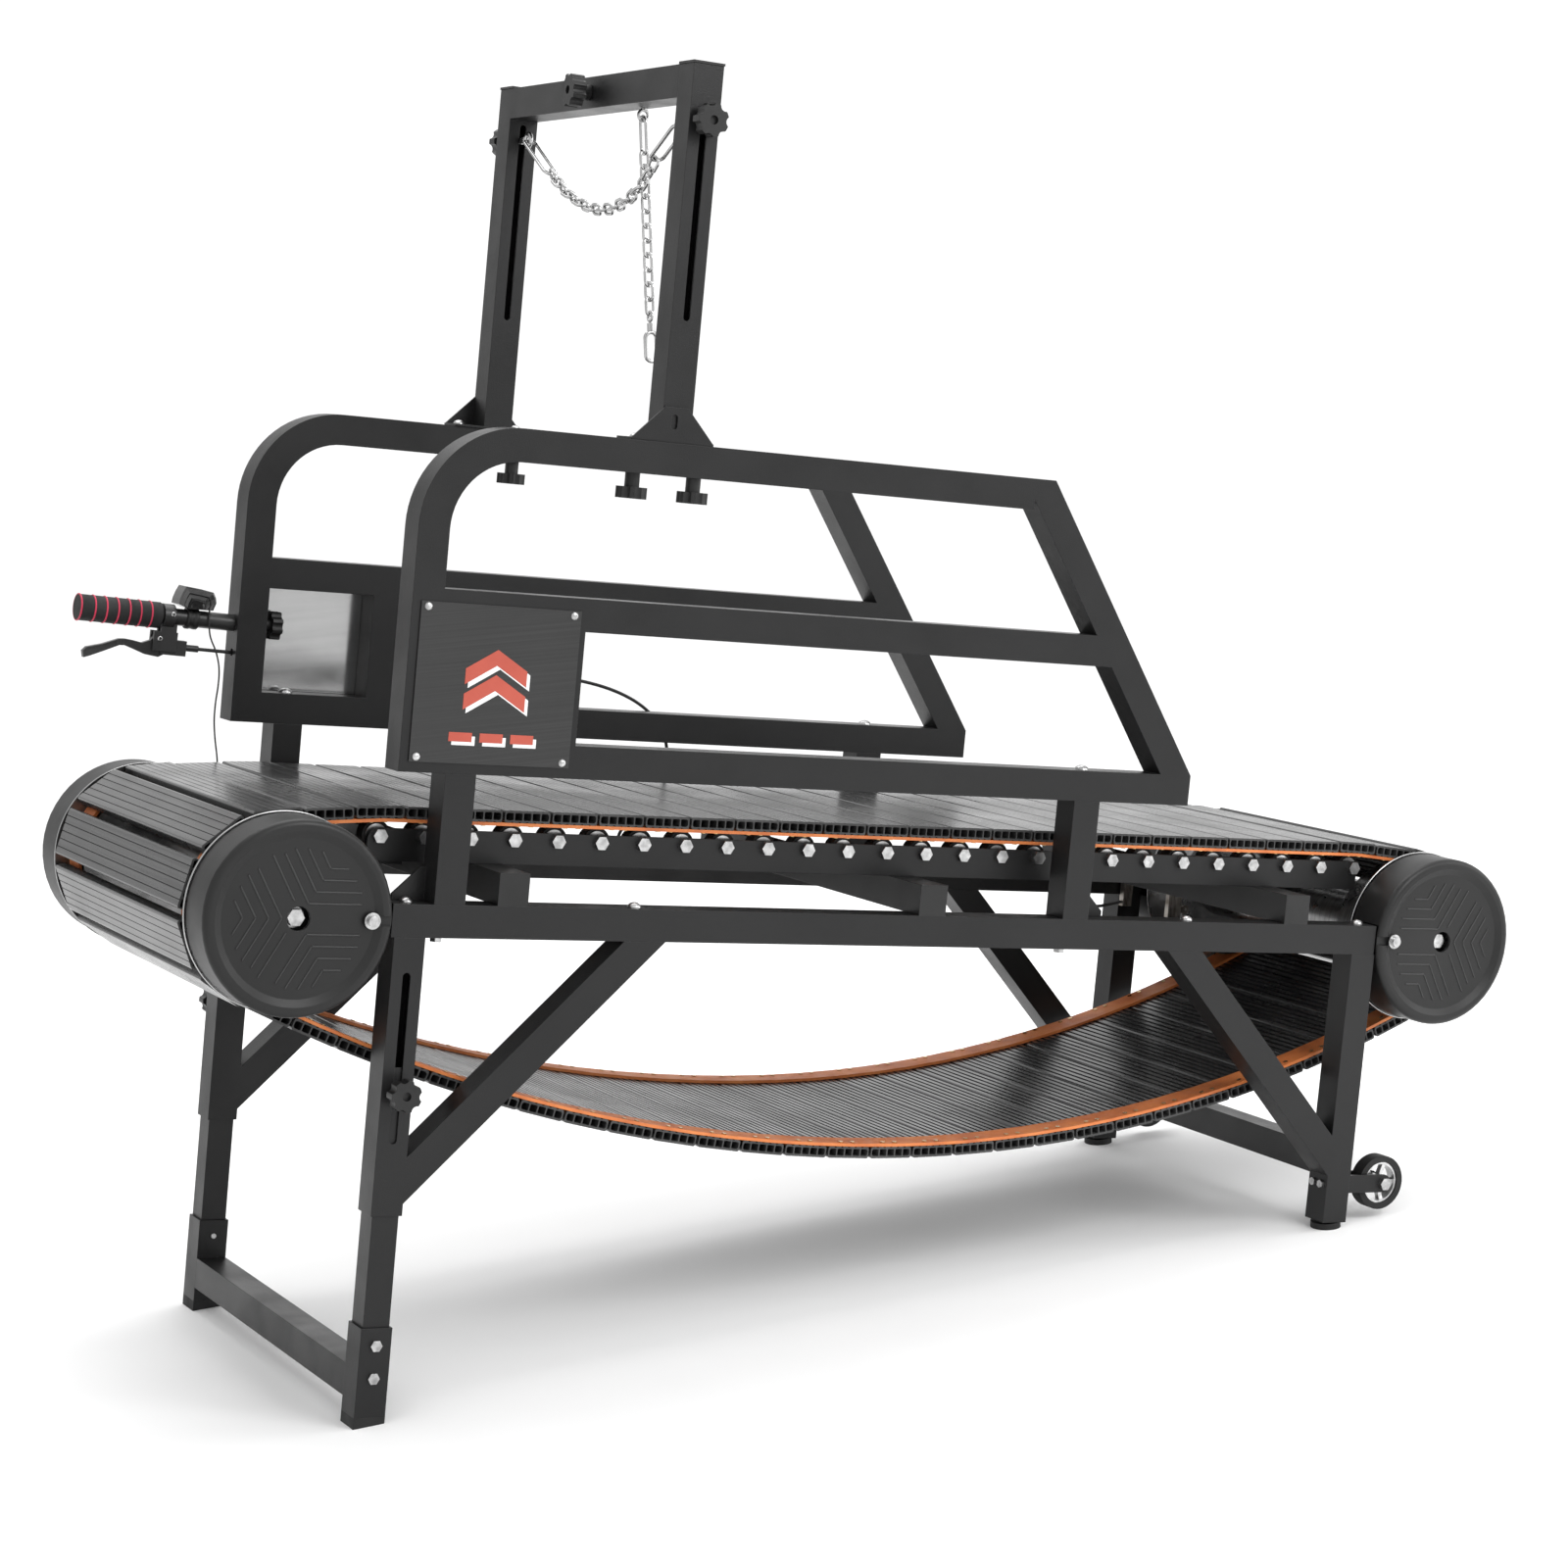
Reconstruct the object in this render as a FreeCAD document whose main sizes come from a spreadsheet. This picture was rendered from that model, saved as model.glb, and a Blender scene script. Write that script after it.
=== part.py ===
"""Manual slat treadmill for dogs: parametric model in millimetres.

Machine frame: x runs along the base rails towards the rear, y across from the near
rail (0) to the far rail, z up from the top face of the base rails.  The machine stands
nose-up, so every sub-part carries one Placement that tilts the machine frame about y
and puts the origin on the floor under the middle of the object.
"""
import FreeCAD
import Part
import math
import os
import re
from FreeCAD import Placement, Rotation, Vector

doc = FreeCAD.newDocument("slatmill")
sheet = doc.addObject("Spreadsheet::Sheet", "Sizes")

SIZES = {
    # frame tubing
    "tube": 40, "wall": 2, "width": 602, "tilt": 8.08, "floor_level": -621,
    "origin_along": 675.4, "rail_front": -52, "rail_rear": 1422,
    "post_front": 0, "post_rear": 897, "post_height": 156.3,
    # legs
    "leg_front": -47.5, "leg_rear": 1383.5, "leg_front_low": -375, "leg_rear_low": -416,
    "slot_top": -82, "slot_low": -288, "slot_width": 10,
    "inner_tube": 34, "inner_top": -196, "inner_low": -606,
    "sleeve_top": -511, "sleeve_low": -620, "foot_bar_low": -602,
    "leg_knob_height": -225, "rear_bar_low": -354, "brace_reach": 262.5, "brace_drop": 58,
    "foot_radius": 21, "foot_high": 8.5,
    # deck
    "cross_one": 82.5, "cross_two": 675, "cross_three": 1261,
    "side_face": 80, "side_top": 79.7, "side_front": -58, "side_rear": 1441, "side_wall": 4,
    "roller_first": -43.3, "roller_pitch": 59.05, "roller_height": 70.4,
    "roller_radius": 17.9, "roller_near": 90, "roller_width": 18, "roller_hub": 11.5,
    # drums and covers
    "axle_front": -170, "axle_rear": 1540, "axle_height": -20, "axle_radius": 10,
    "sheave_radius": 97.8, "flange_radius": 119, "cover_radius": 117, "cover_depth": 61,
    "cover_skin": 3, "cover_disc": 95, "cover_dish": 5, "cover_edge": 8,
    "cover_bolt_reach": 90, "cover_proud": 7,
    # belt
    "belt_radius": 101.5, "strap_thick": 4, "strap_wide": 38, "slat_near": 70,
    "slat_wide": 61, "slat_thick": 15, "slat_skin": 1.8, "low_point": 715,
    "low_drop": 294, "gap_mark": 177.5, "slat_count": 64,
    # guards
    "guard_front": -60.4, "guard_low": 156.3, "guard_top": 568.5, "guard_mid": 333.6,
    "guard_rear": 1079, "guard_shoulder": 819, "guard_bend": 125, "brace_post": 127,
    "plate_front": -49, "plate_rear": 159, "plate_low": 169, "plate_top": 358,
    "plate_thick": 2,
    # leash frame, in its own frame: origin mid-width on top of the guards
    "leash_along": 276, "leash_yaw": 1.66, "leash_face": 296, "leash_height": 453.5,
    "leash_slot_low": 147, "leash_slot_top": 407, "slider_height": 386,
    # transport wheels
    "wheel_along": 1487, "wheel_height": -365, "wheel_radius": 38, "wheel_width": 20,
    # handlebar
    "bar_radius": 11.1, "bar_height": 284, "bar_end": -272, "bar_rise": 2.1,
    "grip_radius": 17, "grip_long": 110, "pivot_out": 100, "pivot_drop": 29.5,
    # chains
    "link_long": 27, "link_wide": 17, "link_wire": 2.1,
    # brake at the far end of the rear drum
    "brake_along": 1402, "brake_pin_along": 1426, "brake_pin_height": -8,
}
for row, (alias, value) in enumerate(SIZES.items(), start=1):
    sheet.set("A%d" % row, alias)
    sheet.set("B%d" % row, str(value))
    sheet.setAlias("B%d" % row, alias)
doc.recompute()


def size(alias):
    """Value of one cell of the sheet."""
    return float(getattr(sheet, alias))


def cells(text):
    """Expression with every alias pointed at the sheet."""
    return re.sub(r"[a-z_]+", lambda m: "Sizes." + m.group() if m.group() in SIZES
                  else m.group(), str(text))


def place(item, corner):
    """Bind the base point of an object's placement."""
    for axis, value in zip("xyz", corner):
        item.setExpression("Placement.Base." + axis, cells(value))
    return item


def turned(item, axis):
    """Turn an object made along z so that it runs along the named axis."""
    turns = {"x": Rotation(Vector(0, 1, 0), 90), "y": Rotation(Vector(1, 0, 0), -90),
             "-x": Rotation(Vector(0, 1, 0), -90), "-y": Rotation(Vector(1, 0, 0), 90),
             "z": Rotation(), "-z": Rotation(Vector(1, 0, 0), 180)}
    item.Placement = Placement(Vector(), turns[axis])
    return item


def box(corner, lengths):
    item = doc.addObject("Part::Box", "Block")
    for prop, value in zip(("Length", "Width", "Height"), lengths):
        item.setExpression(prop, cells(value))
    return place(item, corner)


def rod(start, radius, length, axis="z"):
    item = turned(doc.addObject("Part::Cylinder", "Round"), axis)
    item.setExpression("Radius", cells(radius))
    item.setExpression("Height", cells(length))
    return place(item, start)


def hexagon(start, across, length, axis="z"):
    item = turned(doc.addObject("Part::Prism", "Hex"), axis)
    item.Polygon = 6
    item.setExpression("Circumradius", cells("(%s) / 1.7320508" % across))
    item.setExpression("Height", cells(length))
    return place(item, start)


def dome(start, radius, rise, axis="z"):
    item = turned(doc.addObject("Part::Ellipsoid", "Dome"), axis)
    item.setExpression("Radius1", cells(rise))
    item.setExpression("Radius2", cells(radius))
    item.Angle1 = 0
    return place(item, start)


def cut(base, tool):
    item = doc.addObject("Part::Cut", "Cut")
    item.Base = base
    item.Tool = tool
    return item


def join(parts):
    item = doc.addObject("Part::MultiFuse", "Join")
    item.Shapes = parts
    return item


def group(parts):
    item = doc.addObject("Part::Compound", "Group")
    item.Links = parts
    return item


def mirror(source, base=(0, "width / 2", 0), normal=(0, 1, 0)):
    """Mirror image, by default the far-side twin of a near-side piece."""
    item = doc.addObject("Part::Mirroring", "Twin")
    item.Source = source
    item.Normal = Vector(*normal)
    for axis, value in zip("xyz", base):
        item.setExpression("Base." + axis, cells(value))
    return item


def tube(corner, lengths, run, wall="wall"):
    """Square tube, open at both ends of its run axis."""
    inner_corner = list(corner)
    inner_lengths = list(lengths)
    for index, axis in enumerate("xyz"):
        if axis == run:
            inner_corner[index] = "(%s) - 1" % corner[index]
            inner_lengths[index] = "(%s) + 2" % lengths[index]
        else:
            inner_corner[index] = "(%s) + %s" % (corner[index], wall)
            inner_lengths[index] = "(%s) - 2 * %s" % (lengths[index], wall)
    return cut(box(corner, lengths), box(inner_corner, inner_lengths))


def both_sides(part):
    """Near-side piece and its far-side twin."""
    return [part, mirror(part)]


tilt = Rotation(Vector(0, 1, 0), size("tilt"))
machine = Placement(
    Vector(-size("origin_along"), -size("width") / 2, -size("floor_level")), tilt)
leash_spot = Placement(
    Vector(size("leash_along"), size("width") / 2, size("guard_top")),
    Rotation(Vector(0, 0, 1), -size("leash_yaw")))
leash_seat = machine.multiply(leash_spot)
nodes = []


def node(name, parts, seat=machine):
    """Name a sub-part and stand it in the machine."""
    item = group(parts)
    item.Label = name
    item.Placement = seat
    nodes.append(item)
    return item


def shape_node(name, shape, seat=machine):
    """Sub-part whose Shape is made by Part's own functions."""
    item = doc.addObject("Part::Feature", name)
    item.Shape = shape
    item.Label = name
    item.Placement = seat
    nodes.append(item)
    return item


def star_knob(start, axis, radius, thick, shank, stem, lobes=7):
    """Lobed hand knob: shank on the work side, lobed head beyond it, stud behind."""
    head = rod((0, 0, shank), radius, thick)
    scallops = []
    for lobe in range(lobes):
        angle = 2 * math.pi * lobe / lobes
        centre = [str(round(math.cos(angle), 5)), str(round(math.sin(angle), 5))]
        reach = "%s * 1.16" % radius
        scallops.append(rod((reach + " * " + centre[0], reach + " * " + centre[1],
                             "%s - 1" % shank), "%s * 0.33" % radius, "%s + 2" % thick))
    scallops.append(rod((0, 0, "%s + %s - 5" % (shank, thick)), 5.5, 6))
    body = cut(head, group(scallops))
    parts = [body, rod((0, 0, 0), "%s * 0.48" % radius, "%s + 1" % shank)]
    if stem:
        parts.append(rod((0, 0, "-(%s)" % stem), 4, "%s + 1" % stem))
    knob = turned(join(parts), axis)
    return place(knob, start)


# --- base frame ------------------------------------------------------------------
rail = tube(("rail_front", 0, "-tube"), ("rail_rear - rail_front", "tube", "tube"), "x")
node("base_rails", both_sides(rail))

crosses = [tube((x, 0.5, 0), ("tube", "width - 1", "tube"), "y")
           for x in ("cross_one", "cross_two", "cross_three")]
crosses.append(box((-45, 84, 36), (36, "width - 168", 4)))
node("cross_tubes", crosses)

end_caps = []
for x in ("cross_one", "cross_two", "cross_three"):
    end_caps.append(box((x, 0, 0), ("tube", 0.5, "tube")))
    end_caps.append(box((x, "width - 0.5", 0), ("tube", 0.5, "tube")))

leg = tube(("leg_front", 0, "leg_front_low"), ("tube", "tube", "-leg_front_low - tube"), "z")
slot_centre = "leg_front + tube / 2"
slot_span = "slot_top - slot_low - slot_width"
slot = join([box(("leg_front + (tube - slot_width) / 2", -1, "slot_low + slot_width / 2"),
                 ("slot_width", "wall + 2", slot_span)),
             rod((slot_centre, -1, "slot_low + slot_width / 2"), "slot_width / 2",
                 "wall + 2", "y"),
             rod((slot_centre, -1, "slot_top - slot_width / 2"), "slot_width / 2",
                 "wall + 2", "y")])
front_leg = cut(leg, slot)

rear_leg = tube(("leg_rear", 0, "leg_rear_low"), ("tube", "tube", "-leg_rear_low - tube"), "z")
rear_bar = tube(("leg_rear", "tube", "rear_bar_low"), ("tube", "width - 2 * tube", "tube"), "y")


def brace(corner_x, corner_z, turn):
    """Diagonal tube at 45 degrees, trimmed flush with the leg and the rail."""
    bar = doc.addObject("Part::Box", "Bar")
    bar.setExpression("Length", "560")
    bar.setExpression("Width", cells("tube"))
    bar.setExpression("Height", cells("tube"))
    core = doc.addObject("Part::Box", "Core")
    core.setExpression("Length", "560")
    core.setExpression("Width", cells("tube - 2 * wall"))
    core.setExpression("Height", cells("tube - 2 * wall"))
    core.setExpression("Placement.Base.y", cells("wall"))
    core.setExpression("Placement.Base.z", cells("wall"))
    hollow = cut(bar, core)
    hollow.Placement = Placement(Vector(), Rotation(Vector(0, 1, 0), turn))
    return place(hollow, (corner_x, 0, corner_z))


front_brace = brace("leg_front + tube - 50", "-tube - brace_reach - brace_drop - 50", -45)
front_trim = doc.addObject("Part::Common", "Trim")
front_trim.Base = front_brace
front_trim.Tool = box(("leg_front + tube", -1, -400), (400, "tube + 2", "400 - tube"))
rear_brace = brace("leg_rear - brace_reach - 89", 0, 45)
rear_trim = doc.addObject("Part::Common", "Trim")
rear_trim.Base = rear_brace
rear_trim.Tool = box(("leg_rear - 400", -1, -400), (400, "tube + 2", "400 - tube"))
node("front_legs", both_sides(front_leg) + both_sides(front_trim))
node("rear_legs", both_sides(rear_leg) + both_sides(rear_trim) + [rear_bar])

# --- feet ------------------------------------------------------------------------
inner = tube(("leg_front + 3", 3, "inner_low"), ("inner_tube", "inner_tube",
             "inner_top - inner_low"), "z")
foot_bolt_heights = (-532, -572)
foot_bores = [rod((slot_centre, -1, z), 3.6, "tube + 2", "y") for z in foot_bolt_heights]
stud_hole = rod((slot_centre, 2, "leg_knob_height"), 4.1, 6, "y")
node("inner_legs", both_sides(cut(inner, group(foot_bores + [stud_hole]))))
sleeve = cut(tube(("leg_front", 0, "sleeve_low"),
                  ("tube", "tube", "sleeve_top - sleeve_low"), "z", "3"), group(foot_bores))
foot_bar = tube(("leg_front", "tube", "foot_bar_low"), ("tube", "width - 2 * tube", "tube"), "y")
node("foot_frame", both_sides(sleeve) + [foot_bar])


def square_foot(x, top):
    """Rubber pad under a sleeve, its underside cut level with the floor."""
    pad = box((x, 0, "%s - 30" % top), ("tube", "tube", 30))
    below = doc.addObject("Part::Box", "Floor")
    for prop, value in (("Length", "200"), ("Width", "200"), ("Height", "100")):
        below.setExpression(prop, value)
    below.Placement = Placement(Vector(), Rotation(Vector(0, 1, 0), -size("tilt")))
    place(below, ("(%s) - 80 + 100 * sin(tilt * 1deg)" % x, -50,
                  "(floor_level + ((%s) - 80) * sin(tilt * 1deg)) / cos(tilt * 1deg)"
                  " - 100 * cos(tilt * 1deg) - 0.01" % x))
    return cut(pad, below)


def round_foot(x, top):
    """Plug in the end of a leg on a round rubber pad that stands level on the floor."""
    plug = box((x, 0, "%s - 2" % top), ("tube", "tube", 2))
    middle_x = "(%s + tube / 2)" % x
    above_floor = "(%s * cos(tilt * 1deg) - %s * sin(tilt * 1deg) - floor_level + 0.01)" % (
        top, middle_x)
    pad = rod((0, 0, 0), "foot_radius", "foot_high")
    pad.Placement = Placement(Vector(), Rotation(Vector(0, 1, 0), -size("tilt")))
    place(pad, ("%s + %s * sin(tilt * 1deg)" % (middle_x, above_floor), "tube / 2",
                "%s - %s * cos(tilt * 1deg)" % (top, above_floor)))
    return join([plug, pad])


node("front_feet", both_sides(square_foot("leg_front", "sleeve_low")))
node("rear_feet", both_sides(round_foot("leg_rear", "leg_rear_low")))

foot_bolts = []
for z in foot_bolt_heights:
    foot_bolts.append(hexagon((slot_centre, -4, z), 13, 4, "y"))
    foot_bolts.append(rod((slot_centre, 0, z), 3.5, "tube + 3", "y"))
node("foot_bolts", sum([both_sides(part) for part in foot_bolts], []))

knob = star_knob((slot_centre, -0.5, "leg_knob_height"), "-y", 19.5, 16, 14, "8.5")
node("leg_knob_near", [knob])
far_knob = star_knob((slot_centre, "width + 0.5", "leg_knob_height"), "y", 19.5, 16, 14, "8.5")
node("leg_knob_far", [far_knob])

# --- deck side rails and rollers -------------------------------------------------
side_wall = box(("side_front", "side_face", "tube"),
                ("side_rear - side_front", "side_wall", "side_top - tube"))
corner = rod(("side_front", "side_face - 1", "side_top"), 15, "side_wall + 2", "y")
corner_keep = rod(("side_front + 15", "side_face - 2", "side_top - 15"), 15,
                  "side_wall + 4", "y")
side_flange = box(("side_front + 10", "side_face + side_wall", "tube"),
                  ("side_rear - side_front - 10", 24, 3))
bores = [rod(("roller_first + %d * roller_pitch" % i, "side_face - 1", "roller_height"),
             5, "side_wall + 2", "y") for i in range(26)]
side = cut(join([cut(side_wall, cut(corner, corner_keep)), side_flange]), group(bores))
node("side_rails", both_sides(side))

tyres = []
hubs = []
roller_bolts = []
for i in range(26):
    x = "roller_first + %d * roller_pitch" % i
    near = "roller_near"
    tyre = cut(rod((x, near, "roller_height"), "roller_radius", "roller_width", "y"),
               rod((x, "roller_near - 1", "roller_height"), "roller_hub + 2",
                   "roller_width + 2", "y"))
    tyres.append(tyre)
    hub = cut(rod((x, "roller_near - 0.6", "roller_height"), "roller_hub + 2",
                  "roller_width + 1.2", "y"),
              rod((x, "roller_near - 2", "roller_height"), 5, "roller_width + 4", "y"))
    hubs.append(hub)
    head = hexagon((x, "side_face - 6.4", "roller_height"), 16, 6.4, "y")
    shank = rod((x, "side_face - 0.5", "roller_height"), 5,
                "roller_near + roller_width - side_face + 6", "y")
    spacer = rod((x, "side_face + side_wall", "roller_height"), 7.5,
                 "roller_near - side_face - side_wall - 0.6", "y")
    nut = hexagon((x, "roller_near + roller_width + 0.6", "roller_height"), 16, 5, "y")
    roller_bolts.append(join([head, shank, spacer, nut]))
node("roller_tyres", both_sides(group(tyres)))
node("roller_hubs", both_sides(group(hubs)))
node("roller_bolts", both_sides(group(roller_bolts)))

# --- drums, axles and covers -----------------------------------------------------


def disc(x, start, radius, length):
    return rod((x, start, "axle_height"), radius, length, "y")


def drum(x):
    """Two flanged sheaves on one tube, bored for a running fit on the axle."""
    far = "width"
    rims = []
    for start, flange, web in (("60", "57", "84"), (far + " - 112", far + " - 60",
                                                   far + " - 90")):
        rims.append(cut(disc(x, start, "sheave_radius", 52),
                        disc(x, start + " - 1", "sheave_radius - 5", 54)))
        rims.append(cut(disc(x, flange, "flange_radius", 3),
                        disc(x, flange + " - 1", "sheave_radius - 5", 5)))
        rims.append(disc(x, web, "sheave_radius - 4", 6))
    rims.append(disc(x, 84, 42, "width - 168"))
    hub = join(rims)
    hollow = disc(x, 92, 38, "width - 184")
    bore = disc(x, 50, "axle_radius + 0.1", "width - 100")
    return cut(cut(hub, hollow), bore)


node("front_drum", [drum("axle_front")])
node("rear_drum", [drum("axle_rear")])

axles = []
for x in ("axle_front", "axle_rear"):
    axles.append(join([
        disc(x, 8, "axle_radius", "width - 16"),
        disc(x, 14, 13, 2.5), disc(x, "width - 16.5", 13, 2.5),
        hexagon((x, 6, "axle_height"), 19, 8, "y"),
        hexagon((x, "width - 14", "axle_height"), 19, 8, "y")]))
node("drum_axles", axles)

arm = cut(box(("axle_front - 20", 17, "-tube + 2.5"), ("rail_front - axle_front + 80", 6,
                                                     "tube - 5")),
          disc("axle_front", 16, "axle_radius", 8))
middle = "(axle_front + axle_rear) / 2"
rear_arm = mirror(arm, (middle, 0, 0), (1, 0, 0))
node("axle_brackets", both_sides(arm) + both_sides(rear_arm))


def cover_shell():
    """Dished cap over the front near end of the drum."""
    x = "axle_front"
    blank = disc(x, "-cover_proud", "cover_radius", "cover_depth")
    doc.recompute()
    rounded = doc.addObject("Part::Fillet", "Rounded")
    rounded.Base = blank
    edges = [index for index, edge in enumerate(blank.Shape.Edges, start=1)
             if abs(edge.CenterOfMass.y + size("cover_proud")) < 0.01 and edge.Length > 100]
    rounded.Edges = [(index, size("cover_edge"), size("cover_edge")) for index in edges]
    dish = turned(doc.addObject("Part::Cone", "Dish"), "y")
    dish.setExpression("Radius1", cells("cover_disc + 9"))
    dish.setExpression("Radius2", cells("cover_disc"))
    dish.setExpression("Height", cells("cover_dish"))
    place(dish, (x, "-cover_proud", "axle_height"))
    inside = disc(x, "cover_dish + cover_skin + 2 - cover_proud", "cover_radius - cover_skin",
                  "cover_depth")
    face = "-cover_proud - 1"
    axle_hole = disc(x, face, 14.5, 30)
    bolt_hole = rod(("axle_front + cover_bolt_reach", face, "axle_height"), 4.2, 30, "y")
    notch = box(("axle_front + cover_bolt_reach + 4", face, "axle_height - 6"), (30, 6, 12))
    mouth = box(("axle_front + 95", -0.3, "axle_height - 21"), (30, 60, 42))
    return cut(rounded, group([dish, inside, axle_hole, bolt_hole, notch, mouth]))


cover = cover_shell()
rear_cover = mirror(cover, (middle, 0, 0), (1, 0, 0))
node("drum_covers", both_sides(cover) + both_sides(rear_cover))

cover_bolts = []
for x in ("axle_front + cover_bolt_reach", "axle_rear - cover_bolt_reach"):
    bolt = join([rod((x, "cover_dish - cover_proud - 6.5", "axle_height"), 10, 2, "y"),
                 rod((x, "cover_dish - cover_proud - 11.5", "axle_height"), 6.5, 6, "y"),
                 rod((x, "cover_dish - cover_proud - 5", "axle_height"), 4, 17, "y")])
    cover_bolts.append(bolt)

# --- belt loop -------------------------------------------------------------------
# The loop is a chain of arcs, each given by centre, radius and the angle of the
# outward normal where it starts and ends, joined by straight runs.
belt_r = size("belt_radius")
axle_z = size("axle_height")
front = Vector(size("axle_front"), 0, axle_z)
rear = Vector(size("axle_rear"), 0, axle_z)
low_x = size("low_point")
drop = size("low_drop")
crown = size("roller_radius") + 0.1 + size("strap_thick") / 2
first_roller = Vector(size("roller_first"), 0, size("roller_height"))
last_roller = first_roller + Vector(25 * size("roller_pitch"), 0, 0)


def sag_arc(axle):
    """Arc of the slack run, tangent to one drum and level at the low point."""
    reach = abs(low_x - axle.x)
    radius = (reach ** 2 + drop ** 2 - belt_r ** 2) / (2 * (drop - belt_r))
    centre = Vector(low_x, 0, axle_z - drop + radius)
    return centre, radius, math.asin(reach / (radius - belt_r))


def slope_to_roller(axle, roller):
    """Tilt of the short run between a drum and the nearest roller."""
    across = abs(roller.x - axle.x)
    rise = roller.z - axle.z
    return math.atan2(rise, across) - math.asin((belt_r - crown) / math.hypot(across, rise))


front_sag, front_radius, front_turn = sag_arc(front)
rear_sag, rear_radius, rear_turn = sag_arc(rear)
front_slope = slope_to_roller(front, first_roller)
rear_slope = slope_to_roller(rear, last_roller)
up = math.pi / 2
down = 3 * math.pi / 2
ARCS = [
    (first_roller, crown, up, up + front_slope),
    (front, belt_r, up + front_slope, down - front_turn),
    (front_sag, front_radius, down - front_turn, down),
    (rear_sag, rear_radius, down, down + rear_turn),
    (rear, belt_r, down + rear_turn, 2 * math.pi + up - rear_slope),
    (last_roller, crown, up - rear_slope, up),
]


def on_arc(centre, radius, angle, lift=0.0):
    reach = radius + lift
    return centre + Vector(reach * math.cos(angle), 0, reach * math.sin(angle))


def loop_pieces():
    """Every arc and straight run with its length, in order round the loop."""
    pieces = []
    for index, (centre, radius, start, end) in enumerate(ARCS):
        pieces.append(("arc", radius * (end - start), (centre, radius, start, end)))
        centre_b, radius_b, start_b, _ = ARCS[(index + 1) % len(ARCS)]
        tail = on_arc(centre, radius, end)
        tip = on_arc(centre_b, radius_b, start_b)
        if tail.distanceToPoint(tip) > 0.01:
            pieces.append(("run", tail.distanceToPoint(tip), (tail, tip)))
    return pieces


PIECES = loop_pieces()
LOOP = sum(piece[1] for piece in PIECES)


def on_loop(travel):
    """Point of the strap's mid-line at a distance from the first roller."""
    travel %= LOOP
    for kind, length, data in PIECES:
        if travel <= length:
            break
        travel -= length
    if kind == "arc":
        centre, radius, start, _ = data
        return on_arc(centre, radius, start + travel / radius)
    tail, tip = data
    return tail + (tip - tail) * (travel / length)


def loop_wire(lift):
    """Closed outline of the loop, moved outwards by lift."""
    edges = []
    for index, (centre, radius, start, end) in enumerate(ARCS):
        first = on_arc(centre, radius, start, lift)
        mid = on_arc(centre, radius, (start + end) / 2, lift)
        last = on_arc(centre, radius, end, lift)
        edges.append(Part.Arc(first, mid, last).toShape())
        centre_b, radius_b, start_b, _ = ARCS[(index + 1) % len(ARCS)]
        tip = on_arc(centre_b, radius_b, start_b, lift)
        if last.distanceToPoint(tip) > 0.01:
            edges.append(Part.LineSegment(last, tip).toShape())
    return Part.Wire(edges)


half_strap = size("strap_thick") / 2
band = Part.Face([loop_wire(half_strap), loop_wire(-half_strap)])
band.validate()
straps = []
for near in (size("slat_near"), size("width") - size("slat_near") - size("strap_wide")):
    strap = band.extrude(Vector(0, size("strap_wide"), 0))
    strap.translate(Vector(0, near, 0))
    straps.append(strap)
shape_node("belt_straps", Part.makeCompound(straps))


def slat_profile():
    """Section of one slat: bevelled outline with five cells, sole on z = 0."""
    half = size("slat_wide") / 2
    thick = size("slat_thick")
    skin = size("slat_skin")
    bevel = 2.5
    outline = [(-half + bevel, 0), (half - bevel, 0), (half, bevel), (half, thick - bevel),
               (half - bevel, thick), (-half + bevel, thick), (-half, thick - bevel),
               (-half, bevel)]
    wires = [Part.makePolygon([Vector(x, 0, z) for x, z in outline + outline[:1]])]
    cell = (size("slat_wide") - 6 * skin) / 5
    for index in range(5):
        left = -half + skin + index * (cell + skin)
        right = left + cell
        low, high = skin, thick - skin
        nip_left = bevel - 0.6 if index == 0 else 0
        nip_right = bevel - 0.6 if index == 4 else 0
        ring = [(left + nip_left, low), (right - nip_right, low), (right, low + nip_right),
                (right, high - nip_right), (right - nip_right, high),
                (left + nip_left, high), (left, high - nip_left), (left, low + nip_left)]
        ring = [point for spot, point in enumerate(ring) if point != ring[spot - 1]]
        wires.append(Part.makePolygon([Vector(x, 0, z) for x, z in ring + ring[:1]]))
    return Part.Face(wires)


slat_long = size("width") - 2 * size("slat_near")
slat = slat_profile()
slat.validate()
slat = slat.extrude(Vector(0, slat_long, 0))
slat_count = int(size("slat_count"))
pitch = LOOP / slat_count
phase = first_roller.x - size("gap_mark")
slats = []
for index in range(slat_count):
    start = phase + index * pitch
    tail = on_loop(start + 0.08 * pitch)
    tip = on_loop(start + 0.92 * pitch)
    along = (tip - tail).normalize()
    outward = Vector(along.z, 0, -along.x)
    middle_spot = on_loop(start + 0.5 * pitch)
    crest = max((on_loop(start + share / 20 * pitch) - middle_spot).dot(outward)
                for share in range(2, 19))
    base = middle_spot + outward * (crest + half_strap + 0.15)
    base = base + Vector(0, size("slat_near"), 0)
    turn = FreeCAD.Matrix(-along.x, 0, outward.x, base.x,
                          0, 1, 0, base.y,
                          -along.z, 0, outward.z, base.z,
                          0, 0, 0, 1)
    slats.append(slat.transformed(turn, True))
shape_node("belt_slats", Part.makeCompound(slats))

rivets = []
for index in range(slat_count):
    for shift in (-9, 9):
        travel = phase + (index + 0.5) * pitch + shift
        spot = on_loop(travel)
        along = (on_loop(travel + 2) - on_loop(travel - 2)).normalize()
        outward = Vector(along.z, 0, -along.x)
        for edge in (8, size("width") - 2 * size("slat_near") - 8):
            seat = spot - outward * (half_strap + 1.3)
            seat = seat + Vector(0, size("slat_near") + edge, 0)
            rivets.append(Part.makeCylinder(3.2, 1.0, seat, outward))
shape_node("belt_rivets", Part.makeCompound(rivets))

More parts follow.
